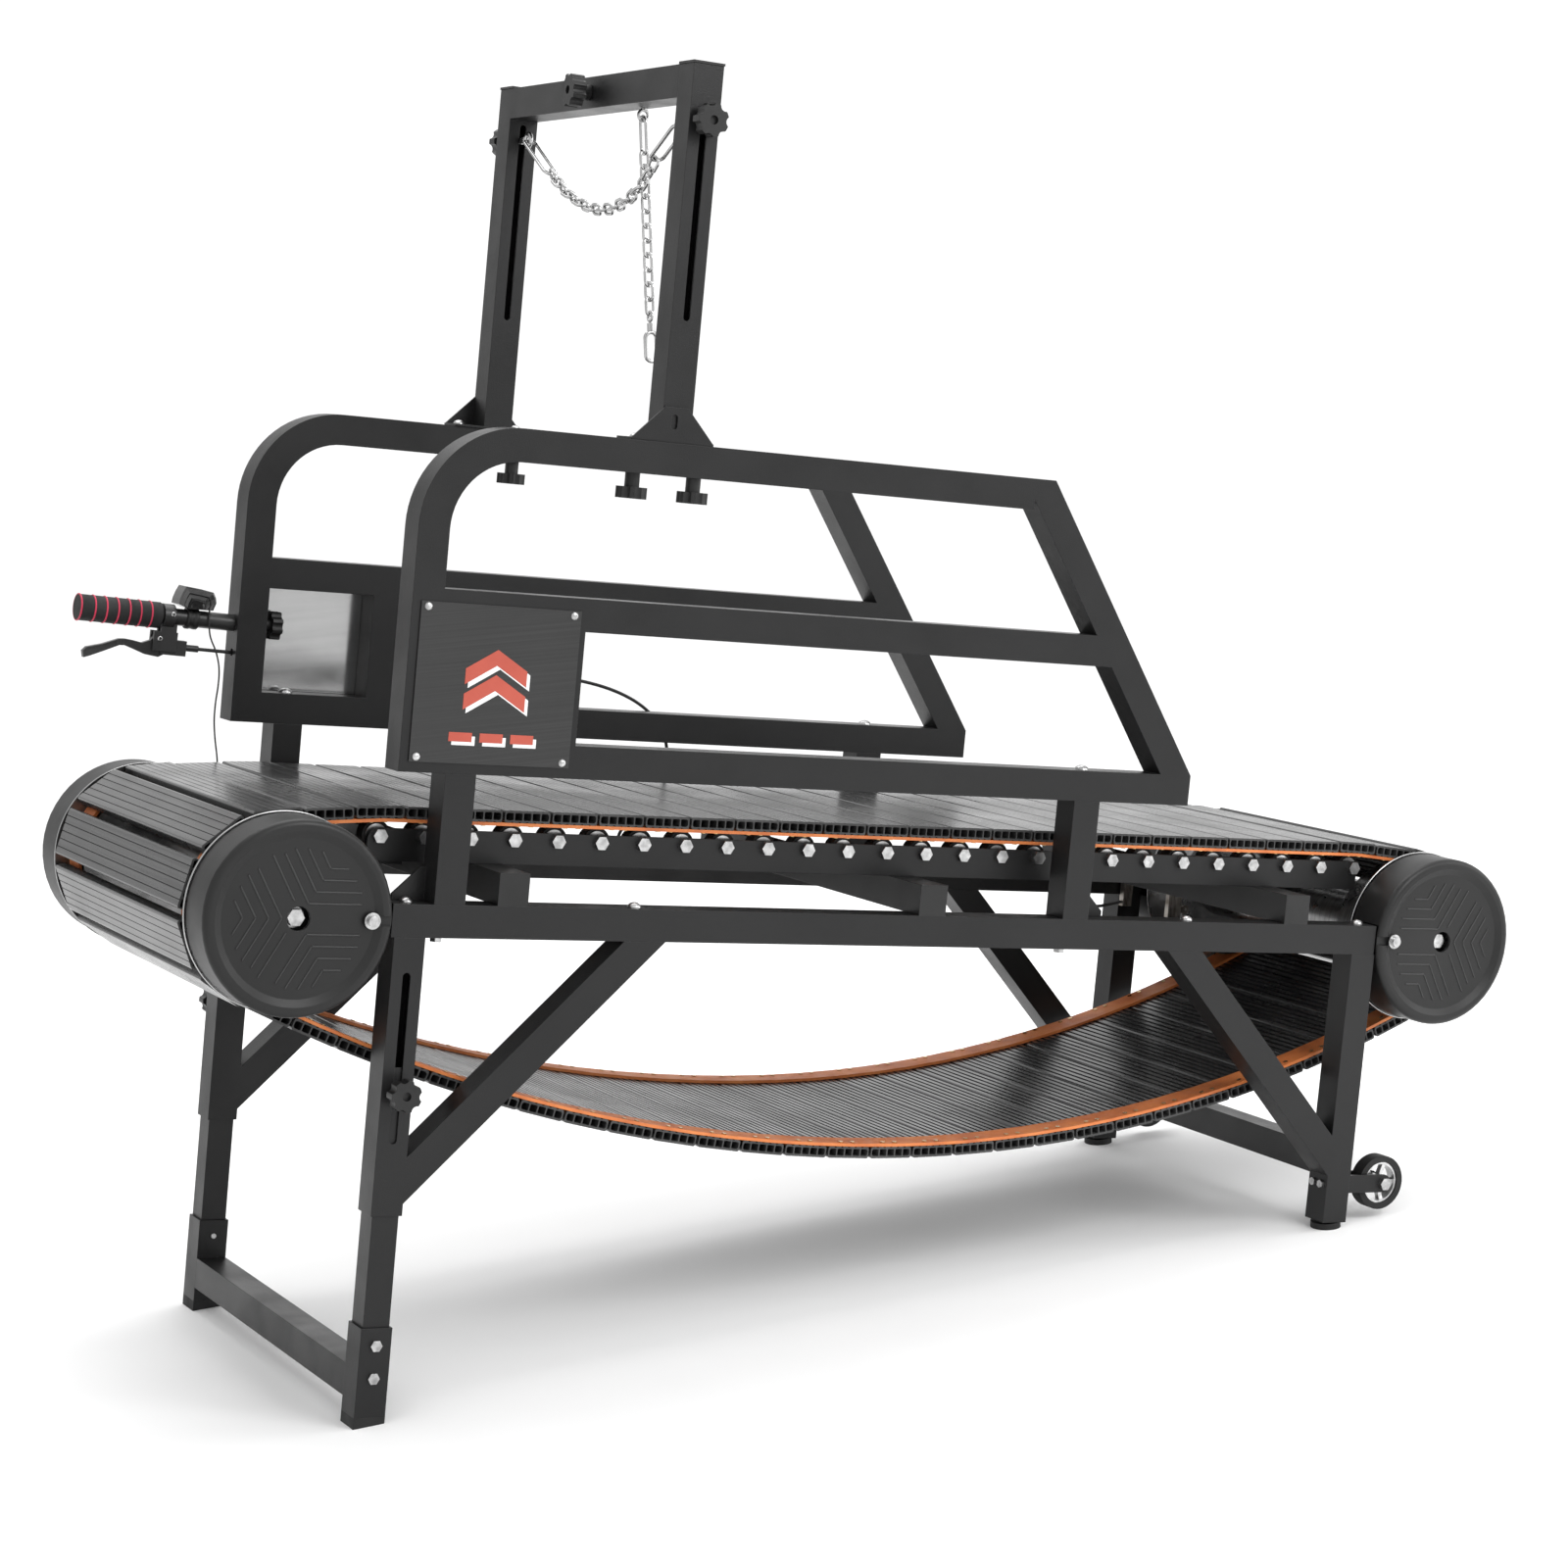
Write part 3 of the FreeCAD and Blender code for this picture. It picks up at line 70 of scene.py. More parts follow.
# --- camera ----------------------------------------------------------------------
camera_data = bpy.data.cameras.new("camera")
camera_data.sensor_width = 36
camera_data.lens = 79.55
camera_data.shift_y = -0.001
camera_data.clip_end = 60
camera = bpy.data.objects.new("camera", camera_data)
bpy.context.scene.collection.objects.link(camera)
right = heading(0.86834083, -0.48722395, 0.0927202)
down = heading(0.03847505, -0.12021007, -0.99200263)
forward = heading(0.49447334, 0.86496379, -0.08563735)
facing = Matrix((right, -down, -forward)).transposed()
camera.matrix_world = Matrix.Translation(at(-1672.41, -3728.22, 532.66)) @ facing.to_4x4()
bpy.context.scene.camera = camera


# --- materials -------------------------------------------------------------------
class Look:
    """One procedural material, built node by node round a Principled shader."""

    def __init__(self, name, metallic=0.0, **fixed):
        self.material = bpy.data.materials.new(name)
        self.material.use_nodes = True
        self.nodes = self.material.node_tree.nodes
        self.links = self.material.node_tree.links
        self.shader = self.nodes["Principled BSDF"]
        self.shader.inputs["Metallic"].default_value = metallic
        for socket, value in fixed.items():
            self.shader.inputs[socket.replace("_", " ")].default_value = value
        self.place = self.nodes.new("ShaderNodeTexCoord").outputs["Object"]

    def stretched(self, scale):
        """Object coordinates scaled by axis."""
        mapping = self.nodes.new("ShaderNodeMapping")
        mapping.inputs["Scale"].default_value = scale
        self.links.new(self.place, mapping.inputs["Vector"])
        return mapping.outputs["Vector"]

    def noise(self, scale, detail=3.0, stretch=(1, 1, 1)):
        """Noise of a given frequency per metre."""
        node = self.nodes.new("ShaderNodeTexNoise")
        node.inputs["Scale"].default_value = scale
        node.inputs["Detail"].default_value = detail
        self.links.new(self.stretched(stretch), node.inputs["Vector"])
        return node.outputs["Fac"]

    def waves(self, scale, axis, distortion=0.0):
        """Bands across one axis."""
        node = self.nodes.new("ShaderNodeTexWave")
        node.bands_direction = axis
        node.inputs["Scale"].default_value = scale
        node.inputs["Distortion"].default_value = distortion
        self.links.new(self.place, node.inputs["Vector"])
        return node.outputs["Fac"]

    def colour(self, value, stops):
        """Base colour read from a ramp."""
        ramp = self.nodes.new("ShaderNodeValToRGB")
        elements = ramp.color_ramp.elements
        while len(elements) < len(stops):
            elements.new(0.5)
        for element, (spot, colour) in zip(elements, stops):
            element.position = spot
            element.color = (*colour, 1)
        self.links.new(value, ramp.inputs["Fac"])
        self.links.new(ramp.outputs["Color"], self.shader.inputs["Base Color"])
        return ramp.outputs["Color"]

    def rough(self, value, low, high):
        """Roughness between two limits."""
        span = self.nodes.new("ShaderNodeMapRange")
        span.inputs["From Min"].default_value = 0.3
        span.inputs["From Max"].default_value = 0.7
        span.inputs["To Min"].default_value = low
        span.inputs["To Max"].default_value = high
        self.links.new(value, span.inputs["Value"])
        self.links.new(span.outputs["Result"], self.shader.inputs["Roughness"])

    def bump(self, value, distance, strength=1.0, rounding=0.0):
        """Surface relief of a depth in metres, on softly rounded edges if asked."""
        node = self.nodes.new("ShaderNodeBump")
        node.inputs["Strength"].default_value = strength
        node.inputs["Distance"].default_value = distance
        self.links.new(value, node.inputs["Height"])
        if rounding:
            bevel = self.nodes.new("ShaderNodeBevel")
            bevel.samples = 4
            bevel.inputs["Radius"].default_value = rounding
            self.links.new(bevel.outputs["Normal"], node.inputs["Normal"])
        self.links.new(node.outputs["Normal"], self.shader.inputs["Normal"])


def coated(name, dark, light, low, high, peel, rounding=0.0012, gloss_level=0.3):
    """Powder coat: mottled colour, uneven gloss and orange peel."""
    look = Look(name, Specular_IOR_Level=gloss_level)
    look.colour(look.noise(6, 5), [(0.35, dark), (0.65, light)])
    look.rough(look.noise(14, 4), low, high)
    look.bump(look.noise(850, 2), peel, 0.5, rounding)
    return look.material


def brushed(name, dark, light, low, high, stretch, metallic=1.0, rounding=0.0,
            relief=0.00015, gloss_level=0.5):
    """Metal with fine lines along one axis."""
    look = Look(name, metallic, Specular_IOR_Level=gloss_level)
    lines = look.noise(1, 6, stretch)
    look.colour(lines, [(0.3, dark), (0.7, light)])
    look.rough(look.noise(9, 4), low, high)
    look.bump(lines, relief, 0.4, rounding)
    return look.material


def plastic(name, dark, light, low, high, grain, scale=900, gloss_level=0.35):
    """Moulded plastic or rubber with a fine grain."""
    look = Look(name, Specular_IOR_Level=gloss_level)
    look.colour(look.noise(18, 4), [(0.3, dark), (0.7, light)])
    look.rough(look.noise(40, 3), low, high)
    look.bump(look.noise(scale, 3), grain, 0.5, 0.0006)
    return look.material


def grey(level, tint=0.0):
    """Near-neutral grey, slightly blue with tint."""
    return (level, level, level * (1 + tint))


frame_paint = coated("frame_paint", grey(0.007, 0.03), grey(0.0095, 0.03), 0.30, 0.44, 0.0004)
cover_paint = coated("cover_shell", grey(0.009), grey(0.013), 0.34, 0.46, 0.0002)
disc_paint = coated("cover_disc", grey(0.012), grey(0.018), 0.30, 0.42, 0.0003,
                    gloss_level=0.6)
plate_paint = brushed("plate_sheet", grey(0.012), grey(0.021), 0.30, 0.44, (3, 3, 420), 0.1)
sheet_back = brushed("bare_sheet", grey(0.42), grey(0.50), 0.10, 0.20, (3, 3, 90), 1.0,
                     relief=0.00002)
# Slat tops: the lighter and darker colour streaks are partly brushed grain and partly painted
# highlight streaks along the ridges.
slat_grain_and_sheen = brushed("slat_anodised_and_sheen", grey(0.008, 0.01), grey(0.050, 0.01), 0.20, 0.32,
                   (230, 1.6, 230), 0.12, relief=0.00004, gloss_level=1.0)
# Painted shade: the groove faces get this darker, duller material so the grooves read as shaded
# lines.
slat_groove_shade = brushed("slat_groove_shade", grey(0.003), grey(0.008), 0.50, 0.65, (150, 3, 150), 0.0,
                      gloss_level=0.1)
slat_cut = plastic("slat_end", grey(0.032), grey(0.060), 0.40, 0.55, 0.0002)
zinc = brushed("zinc_plate", grey(0.30), grey(0.60), 0.22, 0.36, (120, 120, 120), 1.0, 0.0004,
               0.00004)
bright_edge = brushed("bright_edge", grey(0.35), grey(0.5), 0.15, 0.25, (40, 40, 40),
                      relief=0.00001)
drum_steel = brushed("drum_steel", grey(0.18), grey(0.40), 0.22, 0.36, (30, 600, 30))
chrome = brushed("chrome", grey(0.40), grey(0.58), 0.12, 0.20, (25, 25, 25), relief=0.00001)
wheel_alloy = brushed("wheel_alloy", grey(0.50), grey(0.72), 0.22, 0.36, (200, 200, 200))
rivet_brass = brushed("rivet_brass", (0.42, 0.27, 0.11), (0.72, 0.52, 0.27), 0.2, 0.35,
                      (150, 150, 150), relief=0.00004)
worn_steel = brushed("worn_steel", (0.13, 0.11, 0.09), (0.42, 0.39, 0.36), 0.25, 0.5,
                     (240, 20, 60))
black_plastic = plastic("black_plastic", grey(0.007), grey(0.012), 0.34, 0.50, 0.00025)
lever_paint = coated("lever_paint", grey(0.012), grey(0.024), 0.28, 0.40, 0.0002,
                     gloss_level=0.5)
rubber = plastic("black_rubber", grey(0.007), grey(0.012), 0.55, 0.75, 0.0004, 500)
foam = plastic("grip_foam", grey(0.009), grey(0.016), 0.6, 0.8, 0.0007, 1300)
gloss = plastic("gloss_case", grey(0.010), grey(0.018), 0.12, 0.22, 0.00003, 200, 0.9)
cable_skin = plastic("cable_skin", grey(0.008), grey(0.014), 0.28, 0.42, 0.00005)
red_band = plastic("red_band", (0.46, 0.02, 0.06), (0.60, 0.04, 0.09), 0.35, 0.5, 0.0001)
print_red = plastic("print_red", (0.38, 0.065, 0.042), (0.43, 0.08, 0.052), 0.4, 0.5, 0.00004)
print_pale = plastic("print_pale", grey(0.66), grey(0.78), 0.4, 0.5, 0.00004)


def webbing():
    """Orange belting: fine cross weave, darker scuffed patches."""
    look = Look("strap_web")
    look.colour(look.noise(22, 6), [(0.25, (0.42, 0.10, 0.025)), (0.5, (0.60, 0.17, 0.04)),
                                    (0.8, (0.70, 0.25, 0.075))])
    look.rough(look.noise(60, 4), 0.45, 0.65)
    look.bump(look.waves(260, "Y", 0.6), 0.0003, 0.6)
    return look.material


strap_web = webbing()


def repaint(material, names):
    """Gives CAD nodes their finish."""
    for name in names.split():
        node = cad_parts[name]
        node.data.materials.clear()
        node.data.materials.append(material)


repaint(frame_paint, "base_rails cross_tubes front_legs rear_legs inner_legs foot_frame "
                     "guard_posts guard_near guard_far leash_posts leash_bar leash_brackets "
                     "axle_brackets side_rails wheel_forks")
repaint(plate_paint, "side_plates")
repaint(strap_web, "belt_straps")
repaint(zinc, "frame_bolts foot_bolts roller_bolts wheel_axles drum_axles roller_hubs")
repaint(rivet_brass, "belt_rivets")
repaint(worn_steel, "brake_mount brake_arm")
repaint(drum_steel, "front_drum rear_drum")
repaint(cover_paint, "drum_covers")
repaint(black_plastic, "end_caps leg_knob_near leg_knob_far bracket_knobs post_knob_near "
                       "post_knob_far crossbar_knob handlebar_knob speed_sensor")
repaint(lever_paint, "brake_lever lever_clamp handlebar")
repaint(rubber, "roller_tyres wheel_tyre_near wheel_tyre_far front_feet rear_feet")
repaint(foam, "grip")
repaint(wheel_alloy, "wheel_hub_near wheel_hub_far")
repaint(chrome, "tether_eyes tether_carabiners tether_chain hang_clip hang_chain_upper "
                "hang_chain_lower snap_hook")


# --- pieces ----------------------------------------------------------------------
def piece(name, mesh, body, slot, *materials):
    """New mesh object that rides on a body."""
    obj = bpy.data.objects.new(name, mesh)
    bpy.context.scene.collection.objects.link(obj)
    for material in materials:
        mesh.materials.append(material)
    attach(obj, body)
    return obj


def mesh_from(build):
    """Mesh object data filled in by a function that draws into a bmesh."""
    work = bmesh.new()
    build(work)
    bmesh.ops.recalc_face_normals(work, faces=work.faces)
    mesh = bpy.data.meshes.new("part")
    work.to_mesh(mesh)
    work.free()
    return mesh


def cable(name, points, radius, material, node):
    """Cord on the smooth line through a route's control points."""
    curve = bpy.data.curves.new(name, "CURVE")
    curve.dimensions = "3D"
    curve.bevel_depth = radius / 1000
    curve.bevel_resolution = 4
    curve.resolution_u = 8
    curve.use_fill_caps = True
    spline = curve.splines.new("NURBS")
    spline.points.add(len(points) - 1)
    for control, spot in zip(spline.points, points):
        control.co = (*at(*spot), 1)
    spline.order_u = 3
    spline.use_endpoint_u = True
    curve.materials.append(material)
    obj = bpy.data.objects.new(name, curve)
    bpy.context.scene.collection.objects.link(obj)
    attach(obj, "root")
    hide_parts(node)
    return obj


WIRE_ROUTE = [(-97.9, 570.2, 299.3), (-98.2, 570, 291.5), (-98, 567.2, 284),
              (-97.4, 567.6, 274), (-93, 572, 262), (-79, 585, 245), (-71, 589, 223),
              (-70.5, 590, 199), (-72.5, 590, 180), (-72.5, 591, 160), (-71, 592, 145),
              (-67, 595, 126), (-62, 598, 108), (-58, 601, 88), (-55, 604, 68),
              (-52, 606.5, 48), (-50, 608, 28), (-43, 608, 9), (-33, 606, -10)]
OUTER = 605.5
BRAKE_ROUTE = [(-118, 582, 247), (-92, 582, 246), (-66, 576, 245.6), (-44, 583, 244),
               (-32, OUTER + 1, 240), (-10, OUTER + 5, 237), (34, OUTER + 3, 236),
               (104, OUTER + 4, 237), (270, OUTER, 240), (420, OUTER + 1, 239),
               (510, OUTER, 227), (575, OUTER + 1, 200), (610, OUTER, 158),
               (612, OUTER + 1, 104), (576, OUTER, 56), (541, OUTER + 1, 20),
               (551, OUTER, -14), (606, OUTER + 1, -23), (760, OUTER, -22),
               (1040, OUTER + 1, -23), (1270, OUTER, -23), (1330, OUTER + 6, -36),
               (1346, 599, -59), (1351, 573, -62), (1361, 555, -55), (1379.2, 551, -50)]
cable("wire", WIRE_ROUTE, 1.1, cable_skin, "monitor_wire")
cable("brake_line", BRAKE_ROUTE, 2.4, cable_skin, "brake_cable")


# --- belt slats ------------------------------------------------------------------
SLAT_HALF = 30.5
SLAT_THICK = 15.0
SLAT_SKIN = 1.8
GROOVES = (-20.4, -10.2, 0.0, 10.2, 20.4)
TREAD_GROOVE = (0.55, 0.3, 0.4)
SOLE_GROOVE = (1.9, 1.1, 1.1)
CORNER = ((2.5, 0.0), (0.75, 0.75), (0.0, 2.5))
CELL_COUNT = 5
END_CELL_CORNER = 1.9
CELL_CORNER = 0.9
LEVEL_ENOUGH = 0.1
SIDE_MARGIN = 3
BELT_HEART = (685, 301, -60)


def grooved(mouth, bed, deep):
    """Half of the slat's outline from right to left, with grooves of these half widths."""
    top = SLAT_THICK / 2
    half = [(SLAT_HALF - inward, top - drop) for inward, drop in reversed(CORNER)]
    for groove in reversed(GROOVES):
        half += [(groove + mouth, top), (groove + bed, top - deep),
                 (groove - bed, top - deep), (groove - mouth, top)]
    return half + [(-SLAT_HALF + inward, top - drop) for inward, drop in CORNER]


def slat_outline():
    """Closed section of a slat, middle at the origin, tread up and sole down."""
    return grooved(*TREAD_GROOVE) + [(-x, -z) for x, z in grooved(*SOLE_GROOVE)]


def slat_cells():
    """The five hollow cells of the section."""
    wide = (2 * SLAT_HALF - (CELL_COUNT + 1) * SLAT_SKIN) / CELL_COUNT
    reach = SLAT_THICK / 2 - SLAT_SKIN - SOLE_GROOVE[2]
    cells = []
    for index in range(CELL_COUNT):
        left = -SLAT_HALF + SLAT_SKIN + index * (wide + SLAT_SKIN)
        right_side = left + wide
        cut_left = END_CELL_CORNER if index == 0 else CELL_CORNER
        cut_right = END_CELL_CORNER if index == CELL_COUNT - 1 else CELL_CORNER
        cells.append([(left + cut_left, -reach), (right_side - cut_right, -reach),
                      (right_side, -reach + cut_right), (right_side, reach - cut_right),
                      (right_side - cut_right, reach), (left + cut_left, reach),
                      (left, reach - cut_left), (left, -reach + cut_left)])
    return cells


def slat_seats():
    """Centre, running direction, outward direction and end places of each packed slat."""
    work = bmesh.new()
    work.from_mesh(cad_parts["belt_slats"].data)
    bmesh.ops.remove_doubles(work, verts=work.verts, dist=1e-6)
    heart = at(*BELT_HEART)
    seen = set()
    seats = []
    for start in work.verts:
        if start in seen:
            continue
        island = []
        stack = [start]
        seen.add(start)
        while stack:
            vert = stack.pop()
            island.append(vert.co.copy())
            for edge in vert.link_edges:
                other = edge.other_vert(vert)
                if other not in seen:
                    seen.add(other)
                    stack.append(other)
        centre = sum(island, Vector()) / len(island)
        sxx = sum((co.x - centre.x) ** 2 for co in island)
        szz = sum((co.z - centre.z) ** 2 for co in island)
        sxz = sum((co.x - centre.x) * (co.z - centre.z) for co in island)
        angle = 0.5 * math.atan2(2 * sxz, sxx - szz)
        along = Vector((math.cos(angle), 0, math.sin(angle)))
        outward = Vector((-along.z, 0, along.x))
        if outward.dot(centre - heart) < 0:
            outward.negate()
        ends = [co.y for co in island]
        seats.append((centre, along, outward, min(ends), max(ends)))
    work.free()
    return seats


def draw_slats(work):
    """All slats: skins in the first material, ends and cells in the second, grooves last, in a
    darker material that paints shade into the grooves.
    """
    rings = [slat_outline()] + slat_cells()
    for centre, along, outward, low, high in slat_seats():
        for y in (low, high):
            caps = []
            for ring in rings:
                spots = [centre + (along * x + outward * z) / 1000 for x, z in ring]
                caps.append([work.verts.new((spot.x, y, spot.z)) for spot in spots])
            edges = [work.edges.new((ring[i - 1], ring[i])) for ring in caps
                     for i in range(len(ring))]
            filled = bmesh.ops.triangle_fill(work, edges=edges, use_beauty=False)
            for face in filled["geom"]:
                if isinstance(face, bmesh.types.BMFace):
                    face.material_index = 1
            if y == low:
                first = caps
        for number, (near, far) in enumerate(zip(first, caps)):
            for i in range(len(near)):
                face = work.faces.new((near[i - 1], near[i], far[i], far[i - 1]))
                sunk = rings[0][i - 1], rings[0][i]
                in_groove = any(SLAT_THICK / 2 - abs(z) > LEVEL_ENOUGH for _, z in sunk)
                inside = abs(sunk[0][0]) < SLAT_HALF - SIDE_MARGIN
                # Faces inside the grooves take the third material, the painted groove shade.
                face.material_index = 1 if number else 2 if in_groove and inside else 0


slats = piece("slats", mesh_from(draw_slats), "root", "slat_metal", slat_grain_and_sheen, slat_cut,
              slat_groove_shade)
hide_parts("belt_slats")


# --- drum covers: raised chevrons ------------------------------------------------
RIB_ROWS = 6
RIB_PITCH = 16
FIRST_APEX = 5
HUB_CLEAR = 19
RIB_REACH = 83
LONGEST_RIB = 74
RIB_TAPER = 7
SHORTEST_RIB = 8
BOLT_OUT = 90
BOLT_CLEAR = 17
RIB_SUNK = 0.0003
RIB_WIDE = 0.0013
RIB_HIGH = 0.0010


def bar_between(work, start, end, across, lift, wide, high):
    """Low rib with sloping flanks from start to end on a face."""
    run = (end - start).normalized()
    side = across.cross(run).normalized()
    rings = []
    for spot, inset in ((start, wide * 0.5), (end, -wide * 0.5)):
        foot = spot
        crest = spot + run * inset
        rings.append([foot + side * wide - across * lift, crest + side * wide * 0.45
                      + across * high, crest - side * wide * 0.45 + across * high,
                      foot - side * wide - across * lift])
    near = [work.verts.new(co) for co in rings[0]]
    far = [work.verts.new(co) for co in rings[1]]
    for i in range(4):
        work.faces.new((near[i - 1], near[i], far[i], far[i - 1]))
    work.faces.new(near)
    work.faces.new(list(reversed(far)))


def clipped(start, run, radius):
    """How far a line goes inside a circle about the origin."""
    middle = start.dot(run)
    return -middle + math.sqrt(max(middle ** 2 - start.length_squared + radius ** 2, 0))


def cover_ribs(axle_x, face_y, side):
    """Three families of nested chevrons, apex towards the axle."""
    def draw(work):
        across = Vector((0, side, 0))
        mirror = 1 if axle_x < 0 else -1
        for family in (math.pi, math.pi / 3, -math.pi / 3):
            axis = Vector((math.cos(family), math.sin(family)))
            for step in range(RIB_ROWS):
                apex = axis * (step * RIB_PITCH + FIRST_APEX)
                for spread in (math.pi / 3, -math.pi / 3):
                    run = Vector((math.cos(family + spread), math.sin(family + spread)))
                    begin = HUB_CLEAR if step == 0 else 0
                    if step == 0 and spread < 0:
                        continue
                    end = clipped(apex, run, RIB_REACH)
                    end = min(end, begin + LONGEST_RIB - step * RIB_TAPER)
                    if end - begin < SHORTEST_RIB:
                        continue
                    ends = [apex + run * begin, apex + run * end]
                    bolt = Vector((BOLT_OUT, 0))
                    if any((p - bolt).length < BOLT_CLEAR for p in ends):
                        continue
                    spots = [at(axle_x + mirror * p.x, face_y, AXLE_HEIGHT + p.y) for p in ends]
                    bar_between(work, *spots, across, RIB_SUNK, RIB_WIDE, RIB_HIGH)
    return draw


for name, axle_x in DRUMS:
    for side_name, face_y, side in OUTER_FACES:
        piece("cover_ribs_%s_%s" % (name, side_name),
              mesh_from(cover_ribs(axle_x, face_y, side)), "root", "cover_plastic",
              disc_paint)


# --- printed pattern on the side plates ------------------------------------------
PRINT_MIDDLE = 54
CHEVRON_TOPS = (306, 276)
CHEVRON_WIDE, CHEVRON_HIGH, CHEVRON_BAND = 40, 24, 19
BAR_PITCH = 40
BAR_HALF = 15
BAR_TOP, BAR_BOTTOM = 206, 195
SHADOW_SHIFT = 4.2
SHADOW_DEPTH = 0.12
PRINT_DEPTH = 0.25
FAR_SHEET = 601.9
FAR_SHEET_DEPTH = 0.4


def flat_shape(work, points, y, depth, side):
    """Thin slab of a closed outline, given as (x, z) in the machine frame."""
    front = [work.verts.new(at(x, y + side * depth, z)) for x, z in points]
    back = [work.verts.new(at(x, y, z)) for x, z in points]
    work.faces.new(front)
    work.faces.new(list(reversed(back)))
    for i in range(len(points)):
        work.faces.new((front[i - 1], front[i], back[i], back[i - 1]))


def chevron(x, z, wide, high, band):
    """Outline of an upward chevron with its apex at (x, z)."""
    return [(x, z), (x + wide, z - high), (x + wide, z - high - band), (x, z - band),
            (x - wide, z - high - band), (x - wide, z - high)]


def pattern(y, side, shift, depth):
    """Two stacked chevrons over a row of three short bars."""
    def draw(work):
        middle = PRINT_MIDDLE + shift
        for top in CHEVRON_TOPS:
            outline = chevron(middle, top - shift, CHEVRON_WIDE, CHEVRON_HIGH, CHEVRON_BAND)
            flat_shape(work, outline, y, depth, side)
        for x in (middle - BAR_PITCH, middle, middle + BAR_PITCH):
            box = [(x - BAR_HALF, BAR_TOP - shift), (x + BAR_HALF, BAR_TOP - shift),
                   (x + BAR_HALF, BAR_BOTTOM - shift), (x - BAR_HALF, BAR_BOTTOM - shift)]
            flat_shape(work, box, y, depth, side)
    return draw


def bare_back(work):
    """Unpainted inner face of the far plate, between the tubes round it."""
    corners = [(-20, 197), (126.6, 197), (126.6, 333), (-20, 333)]
    flat_shape(work, corners, FAR_SHEET, FAR_SHEET_DEPTH, -1)


for side_name, y, side in OUTER_FACES:
    piece("print_pale_%s" % side_name,
          mesh_from(pattern(y, side, SHADOW_SHIFT, SHADOW_DEPTH)), "root",
          "plate_paint", print_pale)
    piece("print_red_%s" % side_name, mesh_from(pattern(y, side, 0, PRINT_DEPTH)), "root",
          "plate_paint", print_red)

piece("plate_backing", mesh_from(bare_back), "root", "plate_paint", sheet_back)


# --- grip rings ------------------------------------------------------------------
RING_PLACES = (116, 130.8, 145.5, 161, 176.5, 192, 210.6)
RING_RADIUS = 0.0169
RING_THICK = 0.0011


def ring_mesh(centre, axis, radius, thick, around=40, section=10):
    """Torus about an axis, in metres."""
    def draw(work):
        turn = axis.to_track_quat("Z", "Y").to_matrix()
        grid = []
        for i in range(around):
            a = 2 * math.pi * i / around
            ring = []
            for j in range(section):
                b = 2 * math.pi * j / section
                reach = radius + thick * math.cos(b)
                local = Vector((reach * math.cos(a), reach * math.sin(a),
                                thick * math.sin(b)))
                ring.append(work.verts.new(centre + turn @ local))
            grid.append(ring)
        for i in range(around):
            for j in range(section):
                face = work.faces.new((grid[i - 1][j - 1], grid[i][j - 1], grid[i][j],
                                       grid[i - 1][j]))
                face.smooth = True
    return draw


bar_axis = (on_bar(100, 0) - on_bar(0, 0)).normalized()
for number, out in enumerate(RING_PLACES):
    piece("grip_ring_%d" % number,
          mesh_from(ring_mesh(on_bar(out, 0), bar_axis, RING_RADIUS, RING_THICK)), "root",
          "foam", red_band)


# --- turned edges of the drum flanges ---------------------------------------------
FLANGE_FACES = (("near", 57.6), ("far", 544.4))
FLANGE_RADIUS = 0.1184
EDGE_THICK = 0.0011
axle_line = heading(0, 1, 0)
for end_name, axle_x in DRUMS:
    drum_name = end_name + "_drum"
    for side_name, y in FLANGE_FACES:
        centre = at(axle_x, y, AXLE_HEIGHT)
        piece("flange_edge_%s_%s" % (drum_name, side_name),
              mesh_from(ring_mesh(centre, axle_line, FLANGE_RADIUS, EDGE_THICK, 96, 8)),
              drum_name, "drum_metal", bright_edge)


# --- monitor, lever and clamp -----------------------------------------------------
VISOR = [(74.3, 41.6), (54, 39.8), (36.5, 37.2), (32.8, 31), (31.2, 24), (34.5, 13.6),
         (52, 13.2), (68.5, 13.2), (82, 17.6), (81, 25), (78, 34)]
VISOR_FOCUS = (55, 13)
# Share of the full outline and place across the bar, from the near face to the far one.
VISOR_STEPS = ((0.30, -14.0), (0.36, -15.6), (0.44, -15.6), (0.50, -13.2), (0.66, -13.8),
               (0.72, -16.2), (0.92, -17.0), (1.0, -15.8), (1.0, 13.6), (0.90, 16.8))
# Place out along the bar and radius about it.
STRAP_PROFILE = ((50, 11.3), (50, 13.4), (51, 14), (55, 14), (55.6, 13.5), (60.4, 13.5),
                 (61, 14), (65, 14), (66, 13.4), (66, 11.3))
# Shares of the radius and of the height of a domed head with its socket.
HEAD_PROFILE = ((1.0, 0.0), (1.0, 0.55), (0.86, 0.9), (0.62, 1.0), (0.45, 1.0),
                (0.42, 0.35), (0.05, 0.3))
RIM_OUTER = [(150, -35.2), (174, -44), (194, -49.5), (199, -55), (197, -63.5), (190, -61),
             (173, -53.5), (150, -42.8)]
RIM_INNER = [(156, -39), (174, -46.2), (192.6, -51.6), (196.4, -55.8), (195.2, -60.4),
             (190.8, -58.4), (173.4, -50.9), (156, -42.6)]
RIM_FOOT, RIM_CREST = -3.9, -4.9


def hulled(outline, focus, steps):
    """Solid of an (out, up) outline, drawn in towards a focus step by step across."""
    def draw(work):
        rings = []
        for share, across in steps:
            ring = []
            for spot in outline:
                spread = focus + (Vector(spot) - focus) * share
                ring.append(work.verts.new(on_bar(spread.x, spread.y, across)))
            rings.append(ring)
        for near, far in zip(rings, rings[1:]):
            for i in range(len(near)):
                work.faces.new((near[i - 1], near[i], far[i], far[i - 1]))
        work.faces.new(rings[0])
        work.faces.new(list(reversed(rings[-1])))
    return draw


